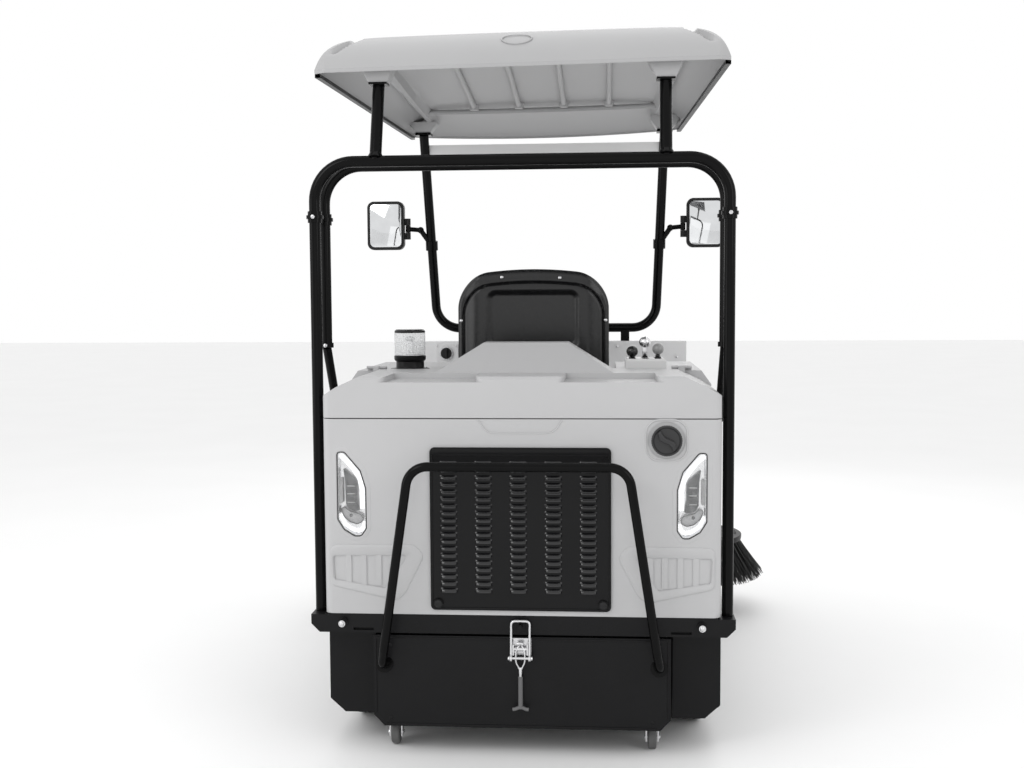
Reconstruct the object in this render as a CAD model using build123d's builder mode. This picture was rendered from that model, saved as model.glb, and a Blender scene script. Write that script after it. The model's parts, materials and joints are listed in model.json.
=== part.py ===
from build123d import *
import math
import os

os.makedirs("parts", exist_ok=True)

# Ride on sweeper. Millimetres, +Z up, +Y is the direction of travel, +X is the driver's right.
# The origin lies on the floor, under the middle of the machine.

# ---- driving dimensions ----
body_half = 560.0          # half width of the rear body
rear_face_y = -930.0       # rear face of the body
body_front_y = -60.0       # front end of the rear body
shell_bottom_z = 406.0
seam_z = 962.0             # where the hood and the deck meet the rear body
shell_wall = 5.0
body_corner = 24.0         # radius of the upright rear corners

deck_z = 1075.0            # top of the deck beside the seat
hood_front_y = -563.0
hood_gap = 3.0
hood_top_z = 1081.0
hood_tray_depth = 16.0
hump_top_z = 1165.0
hump_foot_half = 261.0
hump_top_half = 127.0
hood_hinge_z = 1086.0
hood_hinge_y = -566.0
# ends of the three barrels of one hood hinge
hood_hinge_xs = (body_half - 120, body_half - 100, body_half - 80, body_half - 60)
hinge_barrel = 4.5
hinge_pin = 2.2

rail_x = 300.0             # centre of a chassis rail
rail_width = 50.0
rail_top_z = 390.0
rail_height = 60.0
rail_front_y = 800.0

beam_half = body_half + 40
beam_depth = 60.0
beam_low_z = 351.0
beam_chamfer = 24.0

hopper_half = 396.0
hopper_face_half = hopper_half + 25
hopper_low_z = 85.0
hopper_top_z = 288.0
hopper_front_y = -352.0
hopper_wall = 3.0
hopper_flange = 9.0
hopper_travel_gap = 0.3
face_plate = 6.0
face_top_z = 346.0

skirt_rear_y = -850.0
skirt_front_y = -345.0
skirt_inner_x = 430.0
skirt_outer_x = body_half + 6
skirt_low_z = 92.0
skirt_plate = 4.0

rear_wheel_radius = 190.0
rear_wheel_width = 105.0
rear_wheel_inner_x = 432.0
rear_wheel_y = -560.0
axle_radius = 15.0
running_gap = 0.05

front_wheel_radius = 170.0
front_wheel_width = 90.0
front_wheel_y = 560.0
fork_crown_z = 350.0
fork_plate = 12.0
stem_radius = 25.0

brush_radius = 130.0
brush_half = 380.0
brush_y = -170.0
brush_z = 135.0
brush_pivot_y = 0.0
brush_pivot_z = 290.0
cradle_plate = 8.0
pin_radius = 12.0
shroud_half = 419.0
shroud_top_z = 322.0
shroud_front_y = 24.0
shroud_wall = 4.0

side_brush_x = 672.0
side_brush_y = 792.0
side_brush_z = 300.0       # underside of the brush disc at its centre, raised
side_brush_radius = 230.0
side_disc_radius = 132.0
side_brush_drop = 165.0    # how far the bristles hang below the disc
side_brush_tilt = 4.0      # nose up while raised
side_pivot_x = 365.0
side_pivot_y = 300.0
side_pivot_z = 345.0

hoop_half = body_half + 21
hoop_tube = 16.0
hoop_top_z = 1684.0
hoop_bend = 110.0
hoop_rear_y = -881.0
hoop_gap = 124.0
hoop_joint_z = 1170.0
sleeve_z = 1530.0
sleeve_length = 32.0

roof_rim_z = 1936.0
post_tube = 18.0
post_top = (465.0, 466.0, roof_rim_z - 10)
post_low = (438.0, 608.0, 1175.0)
post_bend = 95.0
mirror_half_width = 73.0
mirror_half_height = 95.0
mirror_depth = 44.0
mirror_centre = (612.0, 520.0, 1583.0)
mirror_pivot_x = 540.0

roof_rear_half = 587.0
roof_front_half = 533.0
roof_rear_y = -857.0
roof_front_y = 555.0
roof_rim_height = 20.0
roof_top_z = roof_rim_z + 151
roof_wall = 6.0
roof_inset_rear = 290.0
roof_inset_front = 210.0
roof_inset_side = 120.0
roof_front_bow = 40.0      # how far the middle of the front edge curves forward
stay_x = 408.0
stay_top_y = -800.0
stay_tube = 17.0
roof_mount_z = roof_rim_z - 22      # where the rear stays meet the roof's mounting pads

seat_half = 250.0
seat_rear_y = -285.0
seat_front_y = 175.0
seat_box_z = 860.0
seat_top_z = 1392.0
seat_arch = 26.0           # how much higher the middle of the seat back is than its shoulders
seat_well_half = 272.0
seat_well_rear_y = -440.0

floor_z = 500.0
floor_plate = 6.0
floor_half = 540.0
cowl_half = 558.0
cowl_rear_y = 560.0
cowl_front_y = 800.0
cowl_top_z = 1122.0
cowl_wall = 6.0
bumper_half = 520.0
bumper_depth = 50.0

wheel_centre = (0.0, 330.0, 1130.0)
wheel_lean = 30.0
steering_radius = 185.0
grip_radius = 14.0
shaft_radius = 12.0
column_radius = 22.0

louvre_half = 254.0
louvre_low_z = 421.0
louvre_high_z = 883.0
louvre_columns = 5
louvre_pitch_x = 98.0
louvre_rows = 19
louvre_pitch_z = 20.0
slot_width = 44.0
slot_height = 9.0
lamp_corner = 12.0
cap_x = body_half - 153
cap_z = 904.0
cap_radius = 43.0
cap_pocket_radius = 52.0
neck_radius = 38.0

caster_x = hopper_half - 21
caster_y = -860.0
caster_radius = 33.0
caster_trail = 15.0
caster_width = 24.0

tow_bore_radius = 13.0
tow_plate = 30.0
tow_y = 878.0

SIDES = ((-1, "left"), (1, "right"))


# ---- helpers ----
def save(builder, node):
    """Label a finished piece and write it under its node name."""
    builder.part.label = node
    export_step(builder.part, f"parts/{node}.step")


def block(x_pair, y_pair, z_pair, mode=Mode.ADD):
    """Add or cut a box between two corners."""
    centre = tuple((pair[0] + pair[1]) / 2 for pair in (x_pair, y_pair, z_pair))
    size = [abs(pair[1] - pair[0]) for pair in (x_pair, y_pair, z_pair)]
    with Locations(centre):
        Box(*size, mode=mode)


def rod(start, end, radius, mode=Mode.ADD):
    """Add or cut a round bar between two points."""
    axis = Vector(*end) - Vector(*start)
    with BuildSketch(Plane(origin=start, z_dir=axis)) as section:
        Circle(radius)
    extrude(section.sketch, amount=axis.length, mode=mode)


def cross_rod(x_pair, y, z, radius, mode=Mode.ADD):
    """A cylinder along X between two places."""
    rod((x_pair[0], y, z), (x_pair[1], y, z), radius, mode)


def bent_tube(points, radius, bend):
    """Add a round bar that follows a bent path."""
    with BuildLine() as path:
        FilletPolyline(*points, radius=bend)
    with BuildSketch(Plane(origin=path.line @ 0, z_dir=path.line % 0)) as section:
        Circle(radius)
    sweep(section.sketch, path=path.line)


def plate_outline(plane, points, depth, mode=Mode.ADD):
    """Add or cut a plate with a straight-sided outline drawn on a plane."""
    with BuildSketch(plane) as outline:
        with BuildLine():
            Polyline(*points, close=True)
        make_face()
    extrude(outline.sketch, amount=depth, mode=mode)


def rear_plane(y):
    """A plane whose x and y run along +X and +Z and whose normal points backwards."""
    return Plane(origin=(0, y, 0), x_dir=(1, 0, 0), z_dir=(0, -1, 0))


def side_plane(x):
    """A plane whose x and y run along +Y and +Z and whose normal points to +X."""
    return Plane(origin=(x, 0, 0), x_dir=(0, 1, 0), z_dir=(1, 0, 0))


def soft_plate(plane, points, depth, corner, mode=Mode.ADD):
    """Add or cut a plate whose straight sides meet in round corners."""
    with BuildSketch(plane) as outline:
        with BuildLine():
            Polyline(*points, close=True)
        make_face()
        fillet(outline.vertices(), radius=corner)
    extrude(outline.sketch, amount=depth, mode=mode)


def tail_lamp_points(side, grow):
    """Corners of a tail lamp on the rear face, grown by a margin."""
    outer = body_half - 42 + grow
    inner = body_half - 123 - grow
    top = 868 + grow
    foot = 629 - grow
    points = [(outer, top), (outer - 21 - 2 * grow, top), (inner + 15, 815 + grow), (inner, 765 + grow)]
    points += [(inner, 650), (inner + 15, foot), (inner + 33, foot), (outer - 18, foot + 18)]
    points += [(outer, 676 - grow)]
    return [(side * x, z) for x, z in points]


# ---- chassis ----
with BuildPart() as chassis_frame:
    rail_low_z = rail_top_z - rail_height
    rail_in = rail_x - rail_width / 2
    rail_out = rail_x + rail_width / 2
    beam_front_y = rear_face_y + beam_depth
    for side in (-1, 1):
        block((side * rail_in, side * rail_out), (beam_front_y, rail_front_y), (rail_low_z, rail_top_z))
        wheel_span = (rear_wheel_y - 80, rear_wheel_y + 80)
        plate_x = rear_wheel_inner_x - 8
        block((side * rail_out, side * plate_x), wheel_span, (350, rail_top_z))
        block((side * (plate_x - 14), side * plate_x), wheel_span, (150, rail_top_z))
        slide_top_z = hopper_top_z - 4 - hopper_travel_gap
        block((side * (hopper_half + 6), side * (plate_x - 14)), (-860, -380),
              (slide_top_z - 5, slide_top_z))
        for y in (-810, -340, 150):
            block((side * rail_out, side * body_half), (y, y + 30), (rail_top_z - 20, rail_top_z))
        for y in (-30, 420):
            block((side * rail_in, side * rail_out), (y, y + 40), (rail_top_z, floor_z - floor_plate))
        for y in (-810, -340):
            block((side * (body_half - 40), side * body_half), (y, y + 30), (rail_top_z, shell_bottom_z))
    for y in (-760, -330, 180):
        block((-rail_in, rail_in), (y, y + 50), (rail_low_z + 10, rail_top_z))
    block((-rail_in, rail_in), (front_wheel_y - 30, front_wheel_y + 30),
          (fork_crown_z + 18, rail_top_z + 10))
    rod((0, front_wheel_y, fork_crown_z + 18), (0, front_wheel_y, floor_z - 60), stem_radius + 20)
    rod((0, front_wheel_y, 300), (0, front_wheel_y, floor_z), stem_radius + running_gap, Mode.SUBTRACT)
    for side in (-1, 1):
        block((side * rail_out, side * (side_pivot_x + 35)), (side_pivot_y - 24, side_pivot_y + 24),
              (rail_top_z - 12, rail_top_z))
        block((side * (side_pivot_x + 27), side * (side_pivot_x + 35)),
              (side_pivot_y - 24, side_pivot_y + 24), (side_pivot_z - 24, rail_top_z))
        cross_rod((side * rail_out, side * (side_pivot_x + 30)), side_pivot_y, side_pivot_z, pin_radius)
save(chassis_frame, "chassis_frame")

with BuildPart() as rear_beam:
    beam_top_z = shell_bottom_z - 4
    points = [(-beam_half, beam_top_z), (beam_half, beam_top_z), (beam_half, beam_low_z + beam_chamfer)]
    points += [(beam_half - beam_chamfer, beam_low_z), (-beam_half + beam_chamfer, beam_low_z)]
    points += [(-beam_half, beam_low_z + beam_chamfer)]
    plate_outline(rear_plane(rear_face_y + beam_depth), points, beam_depth)
    block((-body_half + 10, body_half - 10), (rear_face_y, rear_face_y + 40),
          (beam_top_z, shell_bottom_z))
    for side in (-1, 1):
        rod((side * 506, rear_face_y - 5, 382), (side * 506, rear_face_y, 382), 12)
        block((side * 420, side * 478), (rear_face_y - 1, rear_face_y + 10), (358, 366), Mode.SUBTRACT)
    block((-4, 4), (rear_face_y - 26, rear_face_y), (374, 384))
    block((-12, 12), (rear_face_y - 4, rear_face_y), (362, 398))
save(rear_beam, "rear_beam")

with BuildPart() as side_skirts:
    for side in (-1, 1):
        low_corner = skirt_low_z
        points = [(side * skirt_inner_x, beam_low_z), (side * skirt_outer_x, beam_low_z)]
        points += [(side * skirt_outer_x, low_corner + 40), (side * (skirt_outer_x - 44), low_corner)]
        points += [(side * skirt_inner_x, low_corner)]
        plate_outline(rear_plane(skirt_rear_y + skirt_plate), points, skirt_plate)
        points = [(skirt_rear_y, beam_low_z), (skirt_rear_y, low_corner + 40),
                  (skirt_rear_y + 60, low_corner + 12)]
        points += [(skirt_front_y - 50, low_corner + 12), (skirt_front_y, low_corner + 60),
                   (skirt_front_y, beam_low_z)]
        outer_plane = side_plane(side * skirt_outer_x - (skirt_plate if side > 0 else 0))
        plate_outline(outer_plane, points, skirt_plate)
        block((side * (skirt_inner_x - 5), side * skirt_outer_x), (skirt_rear_y, skirt_rear_y + 30),
              (beam_low_z - 4, beam_low_z))
        block((side * (skirt_outer_x - 26), side * skirt_outer_x), (skirt_rear_y, skirt_front_y),
              (beam_low_z, beam_low_z + 4))
        upstand_x = (side * (skirt_outer_x - 26), side * (skirt_outer_x - 20))
        block(upstand_x, (rear_face_y + beam_depth, skirt_front_y), (beam_low_z, rail_top_z - 20))
save(side_skirts, "side_skirts")

# ---- rear body ----
def body_plan(inset, front_y, z):
    """Draw the plan of the rear body, set in from its outside, up to a front line."""
    half = body_half - inset
    rear_y = rear_face_y + inset
    with BuildSketch(Plane.XY.offset(z)) as plan:
        with BuildLine():
            Polyline((-half, rear_y), (half, rear_y), (half, front_y), (-half, front_y), close=True)
        make_face()
        fillet(plan.vertices().group_by(Axis.Y)[0], radius=body_corner - inset)
    return plan.sketch.face()


with BuildPart() as rear_shell:
    extrude(body_plan(0, body_front_y, shell_bottom_z), amount=seam_z - shell_bottom_z)
    extrude(body_plan(shell_wall, body_front_y + 10, shell_bottom_z - 1),
            amount=seam_z - shell_bottom_z + 2,
            mode=Mode.SUBTRACT)
    block((-louvre_half + 20, louvre_half - 20), (rear_face_y - 1, rear_face_y + 10),
          (louvre_low_z + 20, louvre_high_z - 20), Mode.SUBTRACT)
    points = [(-118, seam_z + 1), (118, seam_z + 1), (92, 925), (-92, 925)]
    plate_outline(rear_plane(rear_face_y + 2), points, 4, Mode.SUBTRACT)
    for side in (-1, 1):
        soft_plate(rear_plane(rear_face_y + 12), tail_lamp_points(side, 1), 14, lamp_corner + 1,
                   Mode.SUBTRACT)
        points = [(side * (body_half - x), z) for x, z in ((28, 572), (243, 575), (175, 480), (31, 504))]
        plate_outline(rear_plane(rear_face_y + 3), points, 5, Mode.SUBTRACT)
        for x in (197, 157, 114, 71):
            post_x = (side * (body_half - x - 8), side * (body_half - x + 8))
            block(post_x, (rear_face_y, rear_face_y + shell_wall), (488, 574))
    rod((cap_x, rear_face_y - 1, cap_z), (cap_x, rear_face_y + 3, cap_z), cap_pocket_radius,
        Mode.SUBTRACT)
    rod((cap_x, rear_face_y - 1, cap_z), (cap_x, rear_face_y + 9, cap_z), neck_radius + 1, Mode.SUBTRACT)
save(rear_shell, "rear_shell")

with BuildPart() as louvre_panel:
    with BuildSketch(rear_plane(rear_face_y)):
        with Locations((0, (louvre_low_z + louvre_high_z) / 2)):
            RectangleRounded(2 * louvre_half, louvre_high_z - louvre_low_z, 14)
    extrude(amount=6)
    with BuildSketch(rear_plane(rear_face_y)):
        with Locations((-5, 659)):
            with GridLocations(louvre_pitch_x, louvre_pitch_z, louvre_columns, louvre_rows):
                Rectangle(slot_width, slot_height)
    extrude(amount=6, mode=Mode.SUBTRACT)
    for side in (-1, 1):
        rod((side * 232, rear_face_y - 6, 441), (side * 232, rear_face_y - 16, 441), 13)
    rod((242, rear_face_y - 6, 846), (242, rear_face_y - 11, 846), 9)
save(louvre_panel, "louvre_panel")

with BuildPart() as lamps:
    for side in (-1, 1):
        soft_plate(rear_plane(rear_face_y + 26), tail_lamp_points(side, 0), 30, lamp_corner)
        rod((side * 360, cowl_front_y, 560), (side * 360, cowl_front_y + 22, 560), 62)
save(lamps, "lamps")

with BuildPart() as water_tank:
    block((body_half - 260, body_half - 20), (rear_face_y + 30, -640), (rail_top_z + 30, 800))
    fillet(water_tank.edges().filter_by(Axis.Z), radius=30)
    block((body_half - 220, body_half - 60), (-800, -700), (rail_top_z, rail_top_z + 30))
    block((cap_x - 37, cap_x + 37), (rear_face_y + 20, -840), (800, 946))
    rod((cap_x, rear_face_y - 6, cap_z), (cap_x, -900, cap_z), neck_radius)
    rod((cap_x, rear_face_y - 7, cap_z), (cap_x, -880, cap_z), neck_radius - 6, Mode.SUBTRACT)
save(water_tank, "water_tank")

with BuildPart() as filler_cap:
    rod((cap_x, rear_face_y - 6.3, cap_z), (cap_x, rear_face_y - 16, cap_z), cap_radius)
    rod((cap_x, rear_face_y - 6.3, cap_z), (cap_x, rear_face_y + 12, cap_z), neck_radius - 7)
    bar_plane = Plane(origin=(cap_x, rear_face_y - 16, cap_z), x_dir=(1, 0, 1), z_dir=(0, -1, 0))
    with BuildSketch(bar_plane):
        SlotOverall(2 * cap_radius - 10, 16)
    extrude(amount=12)
save(filler_cap, "filler_cap")

with BuildPart() as battery_pack:
    block((-250, 250), (-520, -120), (rail_top_z, 700))
    fillet(battery_pack.edges().filter_by(Axis.Z), radius=12)
    for x in (-170, 0, 170):
        rod((x, -420, 700), (x, -420, 716), 14)
        rod((x, -220, 700), (x, -220, 716), 14)
save(battery_pack, "battery_pack")

with BuildPart() as dust_filter:
    filter_x = 155 - body_half
    block((filter_x - 115, filter_x + 115), (-860, -640), (560, 860))
    rod((filter_x, -750, 860), (filter_x, -750, 930), 85)
    block((filter_x - 45, filter_x + 45), (-800, -700), (rail_top_z, 560))
save(dust_filter, "dust_filter")

# ---- hood, deck and seat ----
with BuildPart() as hood:
    hood_low_z = seam_z + hood_gap
    side_shape = [(-body_half, hood_low_z), (body_half, hood_low_z), (body_half, 1026), (520, 1051)]
    side_shape += [(455, hood_top_z), (-455, hood_top_z), (-520, 1051), (-body_half, 1026)]
    plate_outline(rear_plane(hood_front_y), side_shape, hood_front_y - rear_face_y)
    with BuildSketch(Plane.XY.offset(hood_top_z)):
        with Locations((0, -662)):
            Rectangle(2 * hump_foot_half, 198)
    with BuildSketch(Plane.XY.offset(hump_top_z)):
        with Locations((0, -608)):
            Rectangle(2 * hump_top_half, 90)
    loft()
    for side in (-1, 1):
        tray = ((side * 124, side * 380), (rear_face_y - 1, -770),
                (hood_top_z - hood_tray_depth, hood_top_z + 1))
        block(*tray, Mode.SUBTRACT)
    top_edge = hood.edges().filter_by(Axis.X).group_by(Axis.Y)[0].group_by(Axis.Z)[-1]
    chamfer(top_edge, length=8)
    fillet(hood.edges().filter_by(Axis.Z).group_by(Axis.Y)[0], radius=body_corner)
    inset = shell_wall
    inner_shape = [(-body_half + inset, hood_low_z - 1), (body_half - inset, hood_low_z - 1)]
    inner_shape += [(body_half - inset, 1023), (517, 1046), (452, 1060), (-452, 1060), (-517, 1046)]
    inner_shape += [(-body_half + inset, 1023)]
    cavity_length = hood_front_y - rear_face_y - inset - body_corner
    plate_outline(rear_plane(hood_front_y - inset), inner_shape, cavity_length, Mode.SUBTRACT)
    block((-body_half + body_corner, body_half - body_corner),
          (rear_face_y + inset, rear_face_y + body_corner),
          (hood_low_z - 1, 1026), Mode.SUBTRACT)
    outer_end, inner_start, inner_end, far_end = hood_hinge_xs
    for side in (-1, 1):
        leaf_x = (side * (inner_start + 1), side * (inner_end - 1))
        block(leaf_x, (hood_hinge_y - 12, hood_hinge_y), (1062, hood_hinge_z + 2))
        cross_rod(leaf_x, hood_hinge_y, hood_hinge_z, hinge_barrel)
        cross_rod((side * outer_end, side * far_end), hood_hinge_y, hood_hinge_z, hinge_pin)
save(hood, "hood")

with BuildPart() as seat_deck:
    deck_rear_y = hood_front_y + hood_gap
    block((-body_half, body_half), (deck_rear_y, body_front_y), (seam_z, deck_z))
    chamfer(seat_deck.edges().filter_by(Axis.Y).group_by(Axis.Z)[-1], length=42, length2=30)
    well = seat_well_half
    block((-well - 5, well + 5), (seat_well_rear_y - 5, body_front_y), (seat_box_z - 5, seam_z))
    block((-well, well), (seat_well_rear_y, body_front_y + 1), (seat_box_z, deck_z + 1), Mode.SUBTRACT)
    for side in (-1, 1):
        cavity = (side * (well + 5), side * (body_half - 46))
        block(cavity, (deck_rear_y + 5, body_front_y - 5), (seam_z - 1, deck_z - 5), Mode.SUBTRACT)
    block((-well, well), (deck_rear_y + 5, seat_well_rear_y - 5), (seam_z - 1, deck_z - 5), Mode.SUBTRACT)
    block((-body_half, body_half), (body_front_y, body_front_y + 5), (floor_z, deck_z - 32))
    block((-well, well), (body_front_y - 1, body_front_y + 6), (seat_box_z, deck_z), Mode.SUBTRACT)
    block((308, 418), (-512, -388), (deck_z - 6, deck_z + 1), Mode.SUBTRACT)
    for side in (-1, 1):
        for barrel in (hood_hinge_xs[:2], hood_hinge_xs[2:]):
            leaf_x = (side * barrel[0], side * barrel[1])
            block(leaf_x, (hood_hinge_y, deck_rear_y + 12), (hood_hinge_z - 3, hood_hinge_z + 2))
            block(leaf_x, (deck_rear_y + 4, deck_rear_y + 12), (deck_z - 1, hood_hinge_z + 2))
            cross_rod(leaf_x, hood_hinge_y, hood_hinge_z, hinge_barrel)
            cross_rod(leaf_x, hood_hinge_y, hood_hinge_z, hinge_pin + running_gap, Mode.SUBTRACT)
save(seat_deck, "seat_deck")

with BuildPart() as seat_rails:
    for side in (-1, 1):
        block((side * 150, side * 190), (-280, 90), (seat_box_z, seat_box_z + 12))
save(seat_rails, "seat_rails")

with BuildPart() as seat_shell:
    pan_z = seat_box_z + 14
    for side in (-1, 1):
        block((side * 146, side * 194), (-240, 60), (seat_box_z + 12.3, pan_z))
    block((-seat_half + 10, seat_half - 10), (seat_rear_y + 30, seat_front_y), (pan_z, pan_z + 16))
    with BuildSketch(rear_plane(seat_rear_y + 34)):
        with BuildLine():
            shoulder_z = seat_top_z - seat_arch
            Polyline((-seat_half, shoulder_z), (-seat_half, pan_z), (seat_half, pan_z),
                     (seat_half, shoulder_z))
            ThreePointArc((seat_half, shoulder_z), (0, seat_top_z), (-seat_half, shoulder_z))
        make_face()
        fillet(vertices().group_by(Axis.Y)[-1], radius=88)
        fillet(vertices().group_by(Axis.Y)[0], radius=60)
    extrude(amount=34)
    fillet(seat_shell.faces().sort_by(Axis.Y)[0].edges(), radius=22)
save(seat_shell, "seat_shell")

with BuildPart() as seat_cushion:
    cushion_low_z = pan_z + 16
    block((-225, 225), (seat_rear_y + 70, seat_front_y + 5), (cushion_low_z, cushion_low_z + 110))
    fillet(seat_cushion.edges(), radius=28)
save(seat_cushion, "seat_cushion")

with BuildPart() as seat_pad:
    with BuildSketch(rear_plane(seat_rear_y + 34 + 70)):
        with Locations((0, 1194)):
            RectangleRounded(2 * 215, 350, 80)
    extrude(amount=70)
    fillet(seat_pad.faces().sort_by(Axis.Y)[-1].edges(), radius=26)
save(seat_pad, "seat_pad")

# ---- levers ----
lever_y = -450.0
lever_z = 1092.0
lever_ball = 18.0
lever_rows = (("brush_lever", 322.0, 32.0, 44.0), ("damper_lever", 362.0, 2.0, 66.0),
              ("side_brush_lever", 402.0, 30.0, 52.0))
with BuildPart() as lever_console:
    block((300, 426), (-520, -380), (deck_z, 1108))
    chamfer(lever_console.faces().sort_by(Axis.Z)[-1].edges(), length=7)
    block((304, 422), (-515, -385), (deck_z - 1, 1102), Mode.SUBTRACT)
    for name, x, lean, length in lever_rows:
        block((x - 11, x + 11), (-508, -392), (1101, 1109), Mode.SUBTRACT)
    cross_rod((301, 425), lever_y, lever_z, 4)
save(lever_console, "lever_console")

for name, x, lean, length in lever_rows:
    reach = Vector(0, -math.sin(math.radians(lean)), math.cos(math.radians(lean)))
    pivot = Vector(x, lever_y, lever_z)
    with BuildPart() as lever:
        cross_rod((x - 7, x + 7), lever_y, lever_z, 9)
        rod(tuple(pivot), tuple(pivot + reach * length), 5)
        with Locations(pivot + reach * length):
            Sphere(lever_ball)
        cross_rod((x - 8, x + 8), lever_y, lever_z, 4 + running_gap, Mode.SUBTRACT)
    save(lever, name)

# ---- beacon ----
beacon_height = 128.0
with BuildPart() as beacon:
    beacon_spot = (-375, -500)
    rod((*beacon_spot, deck_z), (*beacon_spot, deck_z + 5), 62)
    rod((*beacon_spot, deck_z + 5), (*beacon_spot, deck_z + 45), 46)
    rod((*beacon_spot, deck_z + 45), (*beacon_spot, deck_z + beacon_height), 49)
    fillet(beacon.faces().sort_by(Axis.Z)[-1].edges(), radius=12)
save(beacon, "beacon")

# ---- overhead guard ----
with BuildPart() as rear_hoop:
    foot = beam_top_z
    points = [(-hoop_half, hoop_rear_y, foot), (-hoop_half, hoop_rear_y, hoop_top_z)]
    points += [(hoop_half, hoop_rear_y, hoop_top_z), (hoop_half, hoop_rear_y, foot)]
    bent_tube(points, hoop_tube, hoop_bend)
save(rear_hoop, "rear_hoop")

with BuildPart() as second_hoop:
    second_y = hoop_rear_y + hoop_gap
    points = [(-hoop_half, second_y, hoop_joint_z), (-hoop_half, second_y, hoop_top_z)]
    points += [(hoop_half, second_y, hoop_top_z), (hoop_half, second_y, hoop_joint_z)]
    bent_tube(points, hoop_tube, hoop_bend)
save(second_hoop, "second_hoop")

with BuildPart() as hoop_fittings:
    for side in (-1, 1):
        for y in (hoop_rear_y, second_y):
            rod((side * hoop_half, y, sleeve_z - sleeve_length / 2),
                (side * hoop_half, y, sleeve_z + sleeve_length / 2),
                hoop_tube + 4)
            rod((side * hoop_half, y, sleeve_z - 5), (side * hoop_half, y, sleeve_z + 5), hoop_tube + 8)
            rod((side * hoop_half, y, sleeve_z - 30), (side * hoop_half, y, sleeve_z + 30),
                hoop_tube + 0.02,
                Mode.SUBTRACT)
        block((side * (hoop_half - 6), side * (hoop_half + 6)), (hoop_rear_y + 19, second_y - 19),
              (sleeve_z - 8, sleeve_z + 8))
        rod((side * hoop_half, second_y, hoop_joint_z - 14), (side * hoop_half, second_y, hoop_joint_z),
            hoop_tube + 4)
        strut_foot = (side * (body_half + 17), second_y + 130, 930)
        rod((side * hoop_half, second_y, hoop_joint_z - 12), strut_foot, 13)
        block((side * body_half, side * (body_half + 16)), (second_y + 105, second_y + 155), (900, 935))
save(hoop_fittings, "hoop_fittings")

with BuildPart() as front_hoop:
    top_x, top_y, top_z = post_top
    low_x, low_y, low_z = post_low
    points = [(-top_x, top_y, top_z), (-low_x, low_y, low_z), (low_x, low_y, low_z),
              (top_x, top_y, top_z)]
    bent_tube(points, post_tube, post_bend)
    arm_z = 1505.0
    share = (top_z - arm_z) / (top_z - low_z)
    arm_x = top_x + share * (low_x - top_x)
    arm_y = top_y + share * (low_y - top_y)
    for side in (-1, 1):
        block((side * 300, side * 334), (low_y - 14, low_y + 14), (cowl_top_z, low_z))
        elbow = (side * (arm_x + 42), arm_y - 14, 1566)
        mirror_pivot = (side * mirror_pivot_x, mirror_centre[1])
        rod((side * arm_x, arm_y, arm_z), elbow, 10)
        rod(elbow, (*mirror_pivot, 1570), 9)
        with Locations(elbow):
            Sphere(13)
        rod((*mirror_pivot, 1556), (*mirror_pivot, 1584), 10)
        rod((*mirror_pivot, 1530), (*mirror_pivot, 1610), 5)
        rod((side * arm_x, arm_y + 3, arm_z - 18), (side * arm_x, arm_y - 3, arm_z + 18), 24)
        block((side * (top_x - 30), side * (top_x + 30)), (top_y - 30, top_y + 30), (top_z, roof_rim_z))
save(front_hoop, "front_hoop")

for side, word in SIDES:
    with BuildPart() as mirror_head:
        with BuildSketch(rear_plane(mirror_centre[1] + mirror_depth / 2)):
            with Locations((side * (mirror_pivot_x + 13 + mirror_half_width), mirror_centre[2])):
                RectangleRounded(2 * mirror_half_width, 2 * mirror_half_height, 26)
        extrude(amount=mirror_depth)
        fillet(mirror_head.faces().sort_by(Axis.Y)[-1].edges(), radius=16)
        for z in (1542, 1598):
            rod((side * mirror_pivot_x, mirror_centre[1], z - 13),
                (side * mirror_pivot_x, mirror_centre[1], z + 13), 10)
            block((side * mirror_pivot_x, side * (mirror_pivot_x + 16)),
                  (mirror_centre[1] - 8, mirror_centre[1] + 8),
                  (z - 13, z + 13))
        rod((side * mirror_pivot_x, mirror_centre[1], 1520),
            (side * mirror_pivot_x, mirror_centre[1], 1620),
            5 + running_gap, Mode.SUBTRACT)
    save(mirror_head, f"mirror_{word}")

# ---- roof ----
def roof_section(inset_side, inset_rear, inset_front, z):
    """Draw the tapering plan of the roof, set in from its rim, at a height."""
    rear_y = roof_rear_y + inset_rear
    front_y = roof_front_y - inset_front
    rear_half = roof_rear_half - inset_side
    front_half = roof_front_half - inset_side
    with BuildSketch(Plane.XY.offset(z)) as section:
        with BuildLine():
            Polyline((-front_half, front_y), (-rear_half, rear_y), (rear_half, rear_y),
                     (front_half, front_y))
            ThreePointArc((front_half, front_y), (0, front_y + roof_front_bow), (-front_half, front_y))
        make_face()
        fillet(section.vertices(), radius=30)
    return section.sketch.face()


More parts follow.
